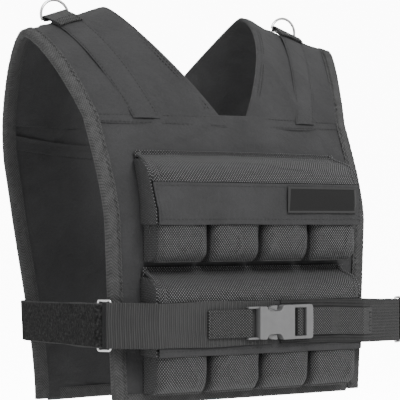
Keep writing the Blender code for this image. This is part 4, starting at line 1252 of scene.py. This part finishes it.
def make_stage():
    focal, picture = 1492.0, 400.0
    pitch = math.atan(25.0 / focal)
    ahead = Vector((0.5 * math.cos(pitch), 0.8660 * math.cos(pitch), math.sin(pitch)))
    lens = bpy.data.cameras.new("camera")
    lens.sensor_width = 36.0
    lens.lens = lens.sensor_width * focal / picture
    bpy.context.scene.camera = aimed("camera", lens, (-0.8482, -1.5310, -0.2455), ahead)

    lights = (
        ("key", (-0.1, -2.7, 1.65), 1.3, 96.0),
        ("fill", (-2.6, -1.2, 0.2), 1.6, 7.0),
        ("top", (0.3, -0.5, 2.2), 1.5, 9.0),
        ("rear", (-0.9, 2.0, 0.9), 1.6, 12.0),
    )
    for name, place, size, power in lights:
        lamp = bpy.data.lights.new(name, "AREA")
        lamp.size = size
        lamp.energy = power
        aimed(name, lamp, place, Vector((0.0, 0.0, -0.2)) - Vector(place))

    world = bpy.data.worlds.new("studio")
    world.use_nodes = True
    world.node_tree.nodes["Background"].inputs["Color"].default_value = grey(1.0)
    world.node_tree.nodes["Background"].inputs["Strength"].default_value = 0.75
    bpy.context.scene.world = world

    ground = board("floor", "studio", [(-9, -9, 0), (9, -9, 0), (9, 9, 0), (-9, 9, 0)])
    ground.location.z = -0.90
    screen = board("backdrop", "backdrop", [(-1, 0, 0), (1, 0, 0), (1, 0, 1.8), (-1, 0, 1.8)])
    screen.location = (1.9, 3.3, -0.899)
    screen.rotation_euler.z = math.radians(-30.0)


def main():
    make_cloths()
    make_hard_looks()
    for side, word in FACES:
        make_panel(word + "_panel", side)
    for side, word in FACES:
        make_hem(word + "_hem", side)
    make_back_lap()
    for hand, word in SIDES:
        make_yoke(word + "_shoulder_yoke", hand)
        for side, face in FACES:
            make_binding(f"{word}_{face}_binding", hand, side)
        make_strap_band(word + "_strap_band", hand)
        make_ring_loop(word + "_ring_loop", hand)
        make_shoulder_ring(word + "_shoulder_ring", hand)
    for seed, (word, block) in enumerate(BLOCKS.items()):
        roll, band, pocket = block["roll"], block["band"], block["pocket"]
        roll_bottom = -block["top"] - roll
        make_roll(word + "_flap_roll", roll_bottom, roll, band, 11.0 + seed)
        make_flap_band(word + "_flap_band", roll_bottom - GAP - band, band, 21.0 + 5.0 * seed)
        for number in range(POCKETS):
            pocket_seed = 31.0 + 7.0 * number + 3.0 * seed
            make_pocket(f"{word}_pocket_{number + 1}", number, roll_bottom - GAP - pocket, pocket, pocket_seed)
    make_label("front_label")
    make_belt()
    for hand, word in SIDES:
        make_side_strap(word + "_side_strap", hand)
        make_strap_ring(word + "_strap_ring", hand)
    make_back_strap("back_strap")
    make_buckle_tab()
    make_long_webbing()
    make_buckle()
    make_stitches("vest_stitches")
    make_stage()


main()
